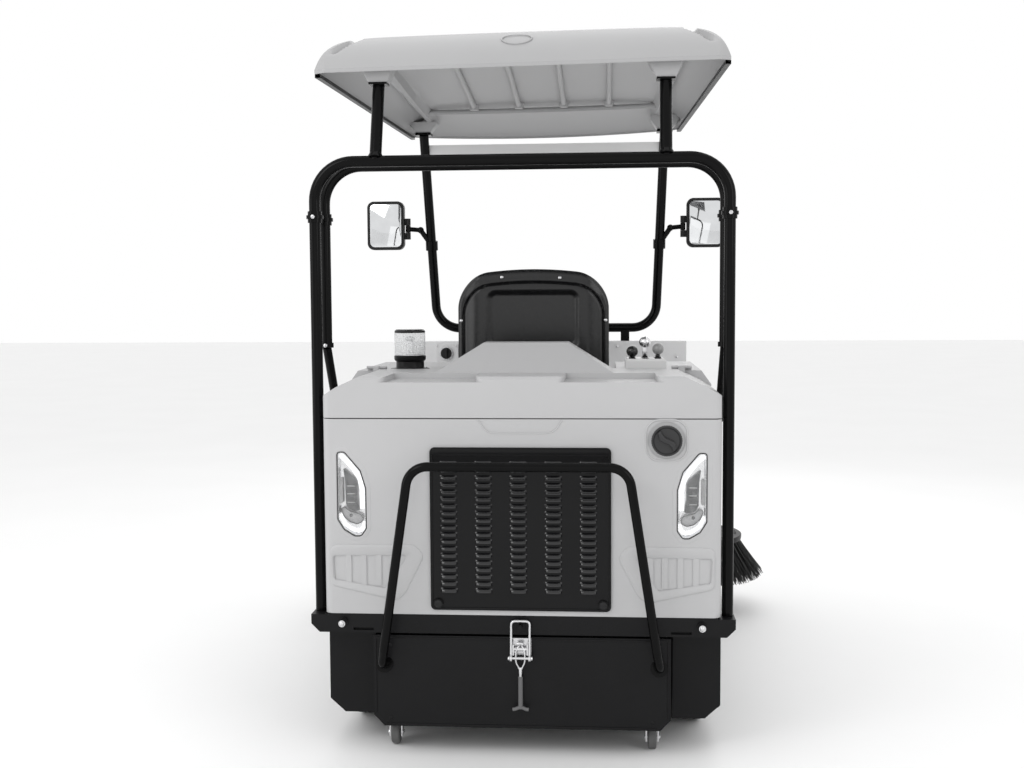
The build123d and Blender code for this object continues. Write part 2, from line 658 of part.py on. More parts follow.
with BuildPart() as roof_canopy:
    rim_top_z = roof_rim_z + roof_rim_height
    extrude(roof_section(0, 0, 0, roof_rim_z), amount=roof_rim_height)
    crown = roof_section(roof_inset_side, roof_inset_rear, roof_inset_front, roof_top_z)
    loft([roof_section(0, 0, 0, rim_top_z), crown])
    rim_inset = roof_wall + 8
    crown_insets = [inset + 14 for inset in (roof_inset_side, roof_inset_rear, roof_inset_front)]
    hollow_top = roof_section(*crown_insets, roof_top_z - 14)
    loft([roof_section(rim_inset, rim_inset, rim_inset, roof_rim_z), hollow_top], mode=Mode.SUBTRACT)
    for side in (-1, 1):
        for x, y, z in ((stay_x, stay_top_y, roof_mount_z), (top_x, top_y, roof_rim_z)):
            with BuildSketch(Plane.XY.offset(z)):
                with Locations((side * x, y)):
                    Rectangle(56, 50)
            with BuildSketch(Plane.XY.offset(roof_rim_z + 34)):
                with Locations((side * x, y)):
                    Rectangle(110, 76)
            loft()
    for x in (-252, -84, 84, 252):
        block((x - 7, x + 7), (-560, 330), (roof_top_z - 34, roof_top_z - 10))
    block((-430, 430), (330, 350), (roof_top_z - 60, roof_top_z - 10))
save(roof_canopy, "roof_canopy")

with BuildPart() as roof_stays:
    for side in (-1, 1):
        block((side * (stay_x - 26), side * (stay_x + 26)), (stay_top_y - 22, stay_top_y + 26),
              (roof_mount_z - 6, roof_mount_z))
        rod((side * (stay_x - 2), hoop_rear_y, hoop_top_z), (side * stay_x, stay_top_y, roof_mount_z - 6),
            stay_tube)
    cross_rod((-600, 600), hoop_rear_y, hoop_top_z, hoop_tube + 0.02, Mode.SUBTRACT)
save(roof_stays, "roof_stays")

with BuildPart() as header_panel:
    block((-top_x + 6, top_x - 6), (top_y + 12, top_y + 18),
          (roof_rim_z - 124, roof_rim_z - 44))
    for side in (-1, 1):
        rod((side * top_x, top_y, top_z), (side * low_x, low_y, low_z), post_tube + 0.02, Mode.SUBTRACT)
save(header_panel, "header_panel")

# ---- front of the machine ----
with BuildPart() as footwell:
    block((-floor_half, floor_half), (body_front_y + 5, cowl_rear_y), (floor_z - floor_plate, floor_z))
    for side in (-1, 1):
        block((side * (floor_half - 4), side * floor_half), (body_front_y + 5, cowl_rear_y),
              (shell_bottom_z, floor_z))
    for x in (-120, 160):
        for end in (-52, 52):
            block((x + end - 4, x + end + 4), (392, 412), (floor_z, floor_z + 22))
        cross_rod((x - 52, x + 52), 402, floor_z + 13, 4)
save(footwell, "footwell")

for name, x in (("brake_pedal", -120), ("accelerator_pedal", 160)):
    with BuildPart() as pedal:
        pedal_z = floor_z + 13
        cross_rod((x - 45, x + 45), 402, pedal_z, 8)
        slope = math.radians(38)
        plate_plane = Plane(origin=(x, 402, pedal_z), x_dir=(1, 0, 0),
                            z_dir=(0, -math.sin(slope), math.cos(slope)))
        with BuildSketch(plate_plane):
            with Locations((0, 75)):
                RectangleRounded(84, 140, 10)
        extrude(amount=8)
        cross_rod((x - 46, x + 46), 402, pedal_z, 4 + running_gap, Mode.SUBTRACT)
    save(pedal, name)

with BuildPart() as front_cowl:
    outline = [(cowl_rear_y, shell_bottom_z), (cowl_front_y, shell_bottom_z), (cowl_front_y, 640),
               (770, 860)]
    outline += [(680, 1095), (650, cowl_top_z), (cowl_rear_y, cowl_top_z)]
    plate_outline(side_plane(-cowl_half), outline, 2 * cowl_half)
    fillet(front_cowl.edges().filter_by(Axis.Z).group_by(Axis.Y)[-1], radius=40)
    wall = cowl_wall
    hollow = [(cowl_rear_y + wall, shell_bottom_z - 1), (cowl_front_y - wall, shell_bottom_z - 1),
              (cowl_front_y - wall, 638)]
    hollow += [(770 - wall, 857), (680 - wall, 1090), (648, cowl_top_z - wall),
               (cowl_rear_y + wall, cowl_top_z - wall)]
    plate_outline(side_plane(-cowl_half + 20), hollow, 2 * cowl_half - 40, Mode.SUBTRACT)
    block((-70, 70), (cowl_rear_y - 1, cowl_rear_y + wall + 1), (shell_bottom_z - 1, floor_z - 10),
          Mode.SUBTRACT)
    block((-440, -350), (cowl_rear_y - 8, cowl_rear_y), (1036, 1112))
save(front_cowl, "front_cowl")

with BuildPart() as key_switch:
    rod((-396, cowl_rear_y - 8.3, 1076), (-396, cowl_rear_y - 20, 1076), 22)
    block((-400, -392), (cowl_rear_y - 36, cowl_rear_y - 20), (1058, 1094))
save(key_switch, "key_switch")

with BuildPart() as front_bumper:
    block((-bumper_half, bumper_half), (rail_front_y, rail_front_y + bumper_depth), (300, 396))
    chamfer(front_bumper.edges().filter_by(Axis.Z).group_by(Axis.Y)[-1], length=30)
    block((-bumper_half + 40, bumper_half - 40), (rail_front_y - 1, rail_front_y + bumper_depth - 8),
          (308, 388), Mode.SUBTRACT)
    for side in (-1, 1):
        block((side * 260, side * 340), (rail_front_y, rail_front_y + 8), (300, 396))
    tow_z = 348.0
    block((-30, 30), (rail_front_y + bumper_depth - 10, tow_y + 30),
          (tow_z - tow_plate / 2, tow_z + tow_plate / 2))
    rod((0, tow_y, tow_z - 20), (0, tow_y, tow_z + 20), tow_bore_radius, Mode.SUBTRACT)
save(front_bumper, "front_bumper")

# ---- steering ----
lean_angle = math.radians(wheel_lean)
down_axis = Vector(0, math.sin(lean_angle), -math.cos(lean_angle))
wheel_point = Vector(*wheel_centre)
with BuildPart() as steering_column:
    rod(tuple(wheel_point + down_axis * 60), tuple(wheel_point + down_axis * 500), column_radius)
    rod(tuple(wheel_point + down_axis * 50), tuple(wheel_point + down_axis * 510),
        shaft_radius + running_gap,
        Mode.SUBTRACT)
    block((-100, 100), (cowl_rear_y, cowl_rear_y + 200), (300, 1000), Mode.SUBTRACT)
save(steering_column, "steering_column")

with BuildPart() as steering_wheel:
    rim_plane = Plane(origin=wheel_centre, x_dir=(1, 0, 0), z_dir=-down_axis)
    with Locations(rim_plane.location):
        Torus(steering_radius, grip_radius)
    for angle in (90, 210, 330):
        turn = math.radians(angle)
        tip = rim_plane.from_local_coords(Vector(steering_radius * math.cos(turn),
                                                 steering_radius * math.sin(turn), 0))
        rod(tuple(wheel_point), tuple(tip), 8)
    rod(tuple(wheel_point - down_axis * 14), tuple(wheel_point + down_axis * 30), 42)
    rod(tuple(wheel_point), tuple(wheel_point + down_axis * 400), shaft_radius)
save(steering_wheel, "steering_wheel")

with BuildPart() as front_fork:
    leg_in = front_wheel_width / 2 + 6
    leg_out = leg_in + fork_plate
    for side in (-1, 1):
        block((side * leg_in, side * leg_out), (front_wheel_y - 35, front_wheel_y + 35),
              (front_wheel_radius - 30, fork_crown_z))
    block((-leg_out, leg_out), (front_wheel_y - 45, front_wheel_y + 45),
          (fork_crown_z, fork_crown_z + fork_plate))
    rod((0, front_wheel_y, fork_crown_z), (0, front_wheel_y, floor_z - 40), stem_radius)
    rod((0, front_wheel_y, floor_z - 58), (0, front_wheel_y, floor_z - 44), 48)
    cross_rod((-leg_out - 6, leg_out + 6), front_wheel_y, front_wheel_radius, 12)
save(front_fork, "front_fork")


def wheel_part(centre_x, centre_y, radius, width, bore, hub_radius):
    """A tyre on a dished hub, turning about X."""
    low_x = centre_x - width / 2
    high_x = centre_x + width / 2
    cross_rod((low_x, high_x), centre_y, radius, radius)
    fillet(edges().filter_by(GeomType.CIRCLE), radius=min(16, width / 4))
    for face_x, inward in ((low_x, 1), (high_x, -1)):
        cross_rod((face_x - inward, face_x + inward * width * 0.2), centre_y, radius, hub_radius,
                  Mode.SUBTRACT)
        cross_rod((face_x, face_x + inward * width * 0.3), centre_y, radius, hub_radius * 0.4)
    cross_rod((low_x - 5, high_x + 5), centre_y, radius, bore, Mode.SUBTRACT)


with BuildPart() as front_wheel:
    wheel_part(0, front_wheel_y, front_wheel_radius, front_wheel_width, 12 + running_gap, 110)
save(front_wheel, "front_wheel")

for side, word in SIDES:
    with BuildPart() as rear_wheel:
        centre_x = side * (rear_wheel_inner_x + rear_wheel_width / 2)
        wheel_part(centre_x, rear_wheel_y, rear_wheel_radius, rear_wheel_width, axle_radius + running_gap,
                   115)
    save(rear_wheel, f"rear_wheel_{word}")

with BuildPart() as rear_axle:
    for side in (-1, 1):
        inner_x = rear_wheel_inner_x - 8
        outer_x = rear_wheel_inner_x + rear_wheel_width
        cross_rod((side * inner_x, side * (inner_x + 5)), rear_wheel_y, rear_wheel_radius, 36)
        cross_rod((side * inner_x, side * (outer_x + 10)), rear_wheel_y, rear_wheel_radius, axle_radius)
        cross_rod((side * (outer_x + 3), side * (outer_x + 10)), rear_wheel_y, rear_wheel_radius, 24)
save(rear_axle, "rear_axle")

# ---- main brush ----
with BuildPart() as brush_shroud:
    half = shroud_half
    low_z = 130
    block((-half, half), (-335, shroud_front_y), (shroud_top_z - shroud_wall, shroud_top_z))
    block((-half, half), (shroud_front_y - shroud_wall, shroud_front_y), (low_z, shroud_top_z))
    for side in (-1, 1):
        block((side * (half - shroud_wall), side * half), (-335, shroud_front_y), (low_z, shroud_top_z))
        block((side * (rail_in + 5), side * (rail_out - 5)), (-320, 0), (shroud_top_z, rail_low_z))
        cross_rod((side * (half - shroud_wall), side * (half - 20)), brush_pivot_y, brush_pivot_z,
                  pin_radius)
save(brush_shroud, "brush_shroud")

with BuildPart() as seal_flaps:
    block((-half, half), (shroud_front_y, shroud_front_y + 6), (14, 180))
    for side in (-1, 1):
        block((side * half, side * (half + 6)), (-335, shroud_front_y), (14, 180))
save(seal_flaps, "seal_flaps")

with BuildPart() as brush_cradle:
    for side in (-1, 1):
        plate_x = side * 400 if side > 0 else side * (400 + cradle_plate)
        eye = Plane(origin=(plate_x, 0, 0), x_dir=(0, 1, 0), z_dir=(1, 0, 0))
        with BuildSketch(eye):
            with Locations((brush_pivot_y, brush_pivot_z)):
                Circle(17)
            with Locations((brush_y, brush_z)):
                Circle(30)
            with BuildLine():
                Polyline((brush_pivot_y + 9, brush_pivot_z - 12), (brush_pivot_y - 9, brush_pivot_z + 12),
                         (brush_y - 18, brush_z + 20), (brush_y + 18, brush_z - 20), close=True)
            make_face()
            with Locations((brush_pivot_y, brush_pivot_z)):
                Circle(pin_radius + running_gap, mode=Mode.SUBTRACT)
        extrude(amount=cradle_plate)
    cross_rod((-402, 402), brush_y, brush_z, 15)
save(brush_cradle, "brush_cradle")

with BuildPart() as main_brush:
    cross_rod((-brush_half, brush_half), brush_y, brush_z, brush_radius)
    cross_rod((-brush_half - 5, brush_half + 5), brush_y, brush_z, 15 + running_gap, Mode.SUBTRACT)
save(main_brush, "main_brush")

# ---- side brushes ----
tilt = math.radians(side_brush_tilt)
brush_up = Vector(0, -math.sin(tilt), math.cos(tilt))
for side, word in SIDES:
    hub = Vector(side * side_brush_x, side_brush_y, side_brush_z)
    disc_plane = Plane(origin=hub, x_dir=(1, 0, 0), z_dir=brush_up)
    with BuildPart() as side_brush_arm:
        cross_rod((side * (side_pivot_x - 25), side * (side_pivot_x + 25)), side_pivot_y, side_pivot_z,
                  22)
        eye_front = (side * side_pivot_x, side_pivot_y + 16, side_pivot_z)
        motor_foot = hub + brush_up * 52
        bent_tube([eye_front, (side * (side_pivot_x + 130), 700, side_pivot_z), tuple(motor_foot)], 15,
                  60)
        rod(tuple(hub + brush_up * 32), tuple(hub + brush_up * 118), 48)
        rod(tuple(hub + brush_up * 14), tuple(hub + brush_up * 40), 12)
        cross_rod((side * (side_pivot_x - 30), side * (side_pivot_x + 30)), side_pivot_y, side_pivot_z,
                  pin_radius + running_gap, Mode.SUBTRACT)
    save(side_brush_arm, f"side_brush_arm_{word}")
    with BuildPart() as side_brush:
        with BuildSketch(disc_plane):
            Circle(side_disc_radius)
        extrude(amount=14)
        with BuildSketch(disc_plane):
            Circle(side_disc_radius - 10)
        with BuildSketch(disc_plane.offset(-side_brush_drop)):
            Circle(side_brush_radius)
        loft()
        with BuildSketch(disc_plane.offset(-12)):
            Circle(side_disc_radius - 60)
        with BuildSketch(disc_plane.offset(-side_brush_drop - 1)):
            Circle(side_brush_radius - 50)
        loft(mode=Mode.SUBTRACT)
        with BuildSketch(disc_plane.offset(-12)):
            Circle(20)
        extrude(amount=28)
        with BuildSketch(disc_plane.offset(2)):
            Circle(12 + running_gap)
        extrude(amount=16, mode=Mode.SUBTRACT)
    save(side_brush, f"side_brush_{word}")

# ---- hopper ----
with BuildPart() as hopper_bin:
    block((-hopper_half, hopper_half), (rear_face_y, hopper_front_y), (hopper_low_z, hopper_top_z))
    block((-hopper_half + hopper_wall, hopper_half - hopper_wall),
          (rear_face_y + hopper_wall, hopper_front_y + 1),
          (hopper_low_z + hopper_wall, hopper_top_z + 1), Mode.SUBTRACT)
    for side in (-1, 1):
        block((side * hopper_half, side * (hopper_half + hopper_flange)),
              (rear_face_y + 20, hopper_front_y),
              (hopper_top_z - 4, hopper_top_z))
        block((side * (caster_x - 26), side * (caster_x + 20)), (caster_y - 26, caster_y + 26),
              (hopper_low_z - 3, hopper_low_z))
    points = [(-hopper_face_half, face_top_z), (hopper_face_half, face_top_z),
              (hopper_face_half, hopper_low_z + 30)]
    points += [(hopper_face_half - 30, hopper_low_z - 2), (-hopper_face_half + 30, hopper_low_z - 2)]
    points += [(-hopper_face_half, hopper_low_z + 30)]
    plate_outline(rear_plane(rear_face_y), points, face_plate)
save(hopper_bin, "hopper_bin")

handle_y = -1020.0
face_y = rear_face_y - face_plate
with BuildPart() as hopper_handle:
    foot_z = 262.0
    points = [(-388, face_y, foot_z), (-388, face_y - 42, foot_z + 14), (-380, face_y - 60, 320),
              (-300, handle_y, 840)]
    points += [(300, handle_y, 840), (380, face_y - 60, 320), (388, face_y - 42, foot_z + 14),
               (388, face_y, foot_z)]
    with BuildLine() as handle_path:
        FilletPolyline(*points, radius=(22, 14, 60, 60, 14, 22))
    with BuildSketch(Plane(origin=handle_path.line @ 0, z_dir=handle_path.line % 0)):
        Circle(13)
    sweep()
    for side in (-1, 1):
        rod((side * 388, face_y, foot_z), (side * 388, face_y - 6, foot_z + 2), 24)
    block((-450, 450), (face_y, face_y + 40), (200, 300), Mode.SUBTRACT)
save(hopper_handle, "hopper_handle")

with BuildPart() as latch_base:
    block((-30, 30), (face_y - 4, face_y), (296, 344))
    for side in (-1, 1):
        block((side * 18, side * 22), (face_y - 24, face_y - 4), (300, 330))
    cross_rod((-22, 22), face_y - 16, 316, 4)
save(latch_base, "latch_base")

with BuildPart() as latch_handle:
    cross_rod((-16, 16), face_y - 16, 316, 8)
    block((-11, 11), (face_y - 22, face_y - 14), (258, 314))
    for side in (-1, 1):
        cross_rod((side * 11, side * 30), face_y - 24, 292, 4)
    cross_rod((-14, 14), face_y - 24, 292, 6)
    rod((0, face_y - 20, 262), (0, face_y - 20, 150), 7)
    cross_rod((-28, 28), face_y - 20, 146, 6)
    cross_rod((-18, 18), face_y - 16, 316, 4 + running_gap, Mode.SUBTRACT)
save(latch_handle, "latch_handle")

with BuildPart() as latch_bow:
    bow_y = face_y - 24
    for side in (-1, 1):
        cross_rod((side * 23, side * 29), bow_y, 292, 9)
    bent_tube([(-26, bow_y, 292), (-26, bow_y + 14, 394), (26, bow_y + 14, 394), (26, bow_y, 292)], 3.5,
              10)
    cross_rod((-40, 40), bow_y, 292, 4 + running_gap, Mode.SUBTRACT)
save(latch_bow, "latch_bow")

for side, word in SIDES:
    with BuildPart() as caster_fork:
        spot = side * (caster_x - 3)
        rod((spot, caster_y, 66), (spot, caster_y, hopper_low_z - 3.3), 20)
        block((spot - 20, spot + 20), (caster_y - 14, caster_y + 26), (68.5, 72))
        for end in (-1, 1):
            block((spot + end * 15, spot + end * 19), (caster_y + 0, caster_y + 2 * caster_trail),
                  (24, 70))
        cross_rod((spot - 21, spot + 21), caster_y + caster_trail, caster_radius, 4)
    save(caster_fork, f"caster_fork_{word}")
    with BuildPart() as caster_wheel:
        half_width = caster_width / 2
        cross_rod((spot - half_width, spot + half_width), caster_y + caster_trail, caster_radius,
                  caster_radius)
        fillet(caster_wheel.edges(), radius=5)
        cross_rod((spot - 20, spot + 20), caster_y + caster_trail, caster_radius, 4 + running_gap,
                  Mode.SUBTRACT)
    save(caster_wheel, f"caster_wheel_{word}")
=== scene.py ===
import json
import math
import random

import bmesh
import bpy
from mathutils import Matrix, Vector, noise


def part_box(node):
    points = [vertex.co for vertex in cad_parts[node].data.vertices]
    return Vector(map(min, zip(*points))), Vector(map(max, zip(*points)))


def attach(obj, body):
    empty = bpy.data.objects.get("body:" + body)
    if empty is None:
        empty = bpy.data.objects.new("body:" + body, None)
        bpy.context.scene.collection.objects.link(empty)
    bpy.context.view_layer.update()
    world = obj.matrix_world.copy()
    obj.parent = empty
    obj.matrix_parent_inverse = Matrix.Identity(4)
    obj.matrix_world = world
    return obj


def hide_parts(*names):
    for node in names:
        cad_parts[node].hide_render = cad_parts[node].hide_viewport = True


bl_info = {
    "name": "Ride on sweeper",
    "version": (1, 0, 0),
    "blender": (4, 5, 0),
    "location": "3D View > Sidebar > Sweeper",
    "description": "Finishes and fine pieces for a ride on sweeper",
    "category": "Object",
}

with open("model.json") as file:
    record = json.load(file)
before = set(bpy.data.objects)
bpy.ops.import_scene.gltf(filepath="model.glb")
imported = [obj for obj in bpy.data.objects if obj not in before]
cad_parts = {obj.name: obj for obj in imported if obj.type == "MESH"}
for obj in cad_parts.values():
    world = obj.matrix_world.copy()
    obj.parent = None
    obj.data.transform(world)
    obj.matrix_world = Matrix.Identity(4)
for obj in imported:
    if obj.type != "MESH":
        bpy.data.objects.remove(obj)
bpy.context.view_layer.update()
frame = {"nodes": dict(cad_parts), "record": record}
SIDES = ((-1, "left"), (1, "right"))
BACK = Vector((0, -1, 0))
SMOOTH_ANGLE = math.radians(32)


# ---------------------------------------------------------------- user settings
def colour_setting(name, description, default):
    """A colour that a user can change."""
    return bpy.props.FloatVectorProperty(
        name=name, description=description, default=default, subtype="COLOR", size=3, min=0, max=1
    )


def length_setting(name, description, default):
    """A length in metres that a user can change."""
    return bpy.props.FloatProperty(
        name=name, description=description, default=default, subtype="DISTANCE", unit="LENGTH", min=0.0001
    )


class SweeperColours(bpy.types.PropertyGroup):
    """Colours of the main finishes."""

    shell: colour_setting("Body shell", "Moulded body, hood and deck", (0.445, 0.445, 0.45))
    roof: colour_setting("Roof", "Moulded roof and header", (0.37, 0.37, 0.374))
    steel: colour_setting("Black steel", "Beam, skirts and hopper", (0.0055, 0.0055, 0.006))
    tube: colour_setting("Guard tube", "Hoops, posts and pull handle", (0.002, 0.002, 0.0021))
    seat: colour_setting("Seat", "Seat shell and vinyl", (0.0055, 0.0055, 0.006))
    rubber: colour_setting("Rubber", "Tyres and flaps", (0.014, 0.014, 0.014))
    bristle: colour_setting("Bristles", "Brush bristles", (0.008, 0.008, 0.008))


class SweeperSizes(bpy.types.PropertyGroup):
    """Sizes of the fine pieces."""

    rivet_radius: length_setting("Rivet radius", "Rivets on the seat shell", 0.006)
    bead_radius: length_setting("Lamp bead radius", "Lamp beads in the tail lamps", 0.0046)
    louvre_lift: length_setting("Louvre lift", "How far a pressed louvre stands out", 0.0095)
    bristle_radius: length_setting("Bristle radius", "Half the thickness of a bristle", 0.0015)
    roof_wall: length_setting("Roof wall", "Thickness of the moulded roof", 0.006)
    seat_swell: length_setting("Seat swell", "How far the seat vinyl may swell", 0.014)


# ---------------------------------------------------------------- shader maths
class Signal:
    """A shader socket that can be used in Python expressions."""

    def __init__(self, finish, socket):
        self.finish = finish
        self.socket = socket

    def _math(self, operation, *values):
        inputs = dict(enumerate(values))
        return self.finish.node("ShaderNodeMath", {"operation": operation}, inputs)

    def __add__(self, other):
        return self._math("ADD", self, other)

    def __sub__(self, other):
        return self._math("SUBTRACT", self, other)

    def __rsub__(self, other):
        return self._math("SUBTRACT", other, self)

    def __mul__(self, other):
        return self._math("MULTIPLY", self, other)

    __radd__ = __add__
    __rmul__ = __mul__

    def above(self, limit):
        """1 where this is over a limit, else 0."""
        return self._math("GREATER_THAN", self, limit)

    def sine(self):
        """The sine of this."""
        return self._math("SINE", self)

    def size(self):
        """This without its sign."""
        return self._math("ABSOLUTE", self)

    def held(self):
        """This kept between 0 and 1."""
        return self.finish.node("ShaderNodeClamp", {}, {"Value": self})


class Finish:
    """A material with a Principled shader, built by short calls."""

    def __init__(self, name, **constants):
        self.material = bpy.data.materials.new(name)
        self.material.use_nodes = True
        self.tree = self.material.node_tree
        self.shader = self.tree.nodes["Principled BSDF"]
        for label, value in constants.items():
            self.shader.inputs[label.replace("_", " ")].default_value = value

    def node(self, kind, settings, inputs, output=0):
        """Add any node: its type, its settings, and its socket values or links."""
        made = self.tree.nodes.new(kind)
        for label, value in settings.items():
            if label == "stops":
                ramp = made.color_ramp
                for index, (place, tone) in enumerate(value):
                    stop = ramp.elements[index] if index < 2 else ramp.elements.new(place)
                    stop.position = place
                    stop.color = (*tone, 1) if isinstance(tone, tuple) else (tone, tone, tone, 1)
            else:
                setattr(made, label, value)
        for label, value in inputs.items():
            if isinstance(value, Signal):
                self.tree.links.new(value.socket, made.inputs[label])
            else:
                made.inputs[label].default_value = value
        return Signal(self, made.outputs[output])

    def feed(self, label, signal):
        """Link a signal to one of the shader's own sockets."""
        self.tree.links.new(signal.socket, self.shader.inputs[label])

    def place(self):
        """Position in the machine's own frame, in metres."""
        return self.node("ShaderNodeTexCoord", {}, {}, "Object")

    def axis(self, place, label):
        """One coordinate of a position."""
        return self.node("ShaderNodeSeparateXYZ", {}, {0: place}, label)

    def cloud(self, place, scale, detail=2.0, rough=0.5):
        """Soft random values from 0 to 1."""
        return self.node("ShaderNodeTexNoise", {}, {"Vector": place, "Scale": scale, "Detail": detail, "Roughness": rough})

    def stretched(self, place, scale):
        """A position stretched by a factor along each axis."""
        return self.node("ShaderNodeVectorMath", {"operation": "MULTIPLY"}, {0: place, 1: scale})

    def ramp(self, value, stops):
        """A colour from a value."""
        return self.node("ShaderNodeValToRGB", {"stops": stops}, {"Fac": value})

    def blend(self, share, first, second):
        """A colour between two colours."""
        first = (*first, 1) if isinstance(first, tuple) else first
        second = (*second, 1) if isinstance(second, tuple) else second
        return self.node("ShaderNodeMix", {"data_type": "RGBA"}, {0: share, 6: first, 7: second}, 2)

    def bump(self, height, distance, strength=1.0):
        """Feed a height in 0 to 1 to the shader's normal."""
        inputs = {"Height": height, "Distance": distance, "Strength": strength}
        self.feed("Normal", self.node("ShaderNodeBump", {}, inputs))


def shade(colour, factor):
    """A colour made lighter or darker."""
    return tuple(min(1.0, part * factor) for part in colour)


def moulded(name, colour, roughness=0.42, coat=0.0, grain=0.00012, dust=0.06, shine=0.5):
    """Moulded plastic: fine spark-eroded grain, faint cloudiness and a little dust low down."""
    finish = Finish(name, Coat_Weight=coat, Coat_Roughness=0.2, Specular_IOR_Level=shine)
    place = finish.place()
    cloud = finish.cloud(place, 5.0, 4.0, 0.55)
    fine = finish.cloud(place, 1400.0, 1.0)
    scuff = finish.cloud(finish.stretched(place, (9.0, 9.0, 60.0)), 1.6, 5.0, 0.7)
    low = finish.axis(place, "Z")
    settled = ((0.9 - low) * 0.8).held() * scuff
    tone = finish.blend(cloud, shade(colour, 0.96), shade(colour, 1.03))
    finish.feed("Base Color", finish.blend(settled * (dust * 6.0), tone, shade(colour, 0.72)))
    finish.feed("Roughness", cloud * 0.10 + fine * 0.05 + settled * 0.12 + (roughness - 0.08))
    finish.bump(fine * 0.8 + cloud * 0.2, grain)
    return finish.material


def painted(name, colour, roughness=0.38, coat=0.2, peel=0.0003, scratch=0.35, shine=0.3):
    """Powder coat on steel: orange peel, faint rub marks and a few fine scratches."""
    finish = Finish(name, Coat_Weight=coat, Coat_Roughness=0.12, Specular_IOR_Level=shine)
    place = finish.place()
    peeling = finish.cloud(place, 420.0, 2.0)
    cloud = finish.cloud(place, 7.0, 5.0, 0.6)
    streak = finish.cloud(finish.stretched(place, (3.0, 3.0, 130.0)), 2.2, 6.0, 0.75)
    marks = (streak - 0.64).held() * (cloud - 0.38).held() * (8.0 * scratch)
    tone = finish.blend(cloud, shade(colour, 0.8), shade(colour, 1.35))
    finish.feed("Base Color", finish.blend(marks.held(), tone, shade(colour, 4.0)))
    finish.feed("Roughness", cloud * 0.16 + marks + (roughness - 0.08))
    finish.bump(peeling, peel)
    return finish.material


def plated(name, colour, roughness=0.22, brushed=0.5):
    """Bright plated or bare metal with fine drawn lines and dull patches."""
    finish = Finish(name, Metallic=1.0)
    place = finish.place()
    lines = finish.cloud(finish.stretched(place, (40.0, 40.0, 900.0)), 1.0, 3.0)
    dull = finish.cloud(place, 38.0, 4.0, 0.6)
    finish.feed("Base Color", finish.blend(dull, shade(colour, 0.78), shade(colour, 1.08)))
    finish.feed("Roughness", dull * 0.22 + lines * (0.1 * brushed) + (roughness - 0.1))
    finish.bump(lines, 0.0001 * brushed + 0.00001)
    return finish.material


def rubbery(name, colour, roughness=0.72):
    """Rubber: dull, dusty in its hollows and finely pitted."""
    finish = Finish(name, Specular_IOR_Level=0.35)
    place = finish.place()
    pit = finish.cloud(place, 700.0, 3.0)
    dust = finish.cloud(place, 17.0, 6.0, 0.7)
    low = (0.25 - finish.axis(place, "Z")).held()
    grey = (dust * 0.6 + low * 1.2 - 0.18).held()
    finish.feed("Base Color", finish.blend(grey, colour, shade(colour, 3.4)))
    finish.feed("Roughness", dust * 0.2 + (roughness - 0.1))
    finish.bump(pit * 0.7 + dust * 0.3, 0.0005)
    return finish.material


def vinyl(name, colour):
    """Seat vinyl: leather-like cells, soft sheen and worn smooth patches."""
    finish = Finish(name, Sheen_Weight=0.15, Sheen_Roughness=0.5, IOR=1.48)
    place = finish.place()
    inputs = {"Vector": place, "Scale": 520.0, "Randomness": 0.9}
    cells = finish.node("ShaderNodeTexVoronoi", {"feature": "DISTANCE_TO_EDGE"}, inputs)
    folds = finish.cloud(place, 16.0, 5.0, 0.6)
    finish.feed("Base Color", finish.blend(folds, shade(colour, 0.8), shade(colour, 1.6)))
    finish.feed("Roughness", folds * 0.2 + (cells * -1.4 + 0.45).held() * 0.3 + 0.26)
    finish.bump((cells * 6.0).held() * 0.8 + folds * 0.2, 0.0006)
    return finish.material


def bristly(name, colour):
    """Nylon bristles: each one a little lighter or darker, dusty towards the tips."""
    finish = Finish(name, Specular_IOR_Level=0.5)
    place = finish.place()
    speck = finish.cloud(place, 260.0, 2.0, 0.8)
    dust = finish.cloud(place, 22.0, 4.0, 0.6)
    light = (speck * 2.4 - 0.95).held()
    finish.feed("Base Color", finish.blend(light * dust, colour, shade(colour, 9.0)))
    finish.feed("Roughness", dust * 0.3 + 0.3)
    finish.bump(speck, 0.0004)
    return finish.material


def clear(name, tint, opacity=0.3, roughness=0.08, lines=None):
    """Clear lens plastic, with moulded lines if asked for."""
    finish = Finish(name, IOR=1.5, Coat_Weight=0.6, Coat_Roughness=0.05)
    place = finish.place()
    haze = finish.cloud(place, 60.0, 4.0)
    finish.feed("Base Color", finish.blend(haze, shade(tint, 0.92), tint))
    finish.feed("Roughness", haze * 0.1 + roughness)
    finish.feed("Alpha", haze * 0.12 + opacity)
    if lines:
        wave = (finish.axis(place, lines[0]) * lines[1]).sine()
        finish.bump(wave * 0.5 + 0.5, 0.0012)
    else:
        finish.bump(haze, 0.0001)
    return finish.material


def treaded(name, colour):
    """Raised tread plate: crossed lozenges on dark painted steel."""
    finish = Finish(name, Coat_Weight=0.1, IOR=1.5)
    place = finish.place()
    across = finish.axis(place, "X")
    along = finish.axis(place, "Y")
    one = ((across + along) * 118.0).sine()
    two = ((across - along) * 118.0).sine()
    lozenge = (one * two - 0.45).held() * 2.0
    grime = finish.cloud(place, 9.0, 6.0, 0.65)
    worn = lozenge.held() * (grime - 0.35).held() * 2.0
    finish.feed("Base Color", finish.blend(worn.held(), colour, shade(colour, 5.0)))
    finish.feed("Roughness", grime * 0.3 + 0.35)
    finish.bump(lozenge.held(), 0.0016)
    return finish.material


def mirror_glass(name):
    """Silvered glass with a faint film of dust."""
    finish = Finish(name, Metallic=1.0)
    place = finish.place()
    film = finish.cloud(place, 26.0, 5.0, 0.6)
    finish.feed("Base Color", finish.blend(film, (0.62, 0.63, 0.64), (0.78, 0.79, 0.80)))
    finish.feed("Roughness", (film - 0.45).held() * 0.3 + 0.03)
    finish.bump(film, 0.00004)
    return finish.material


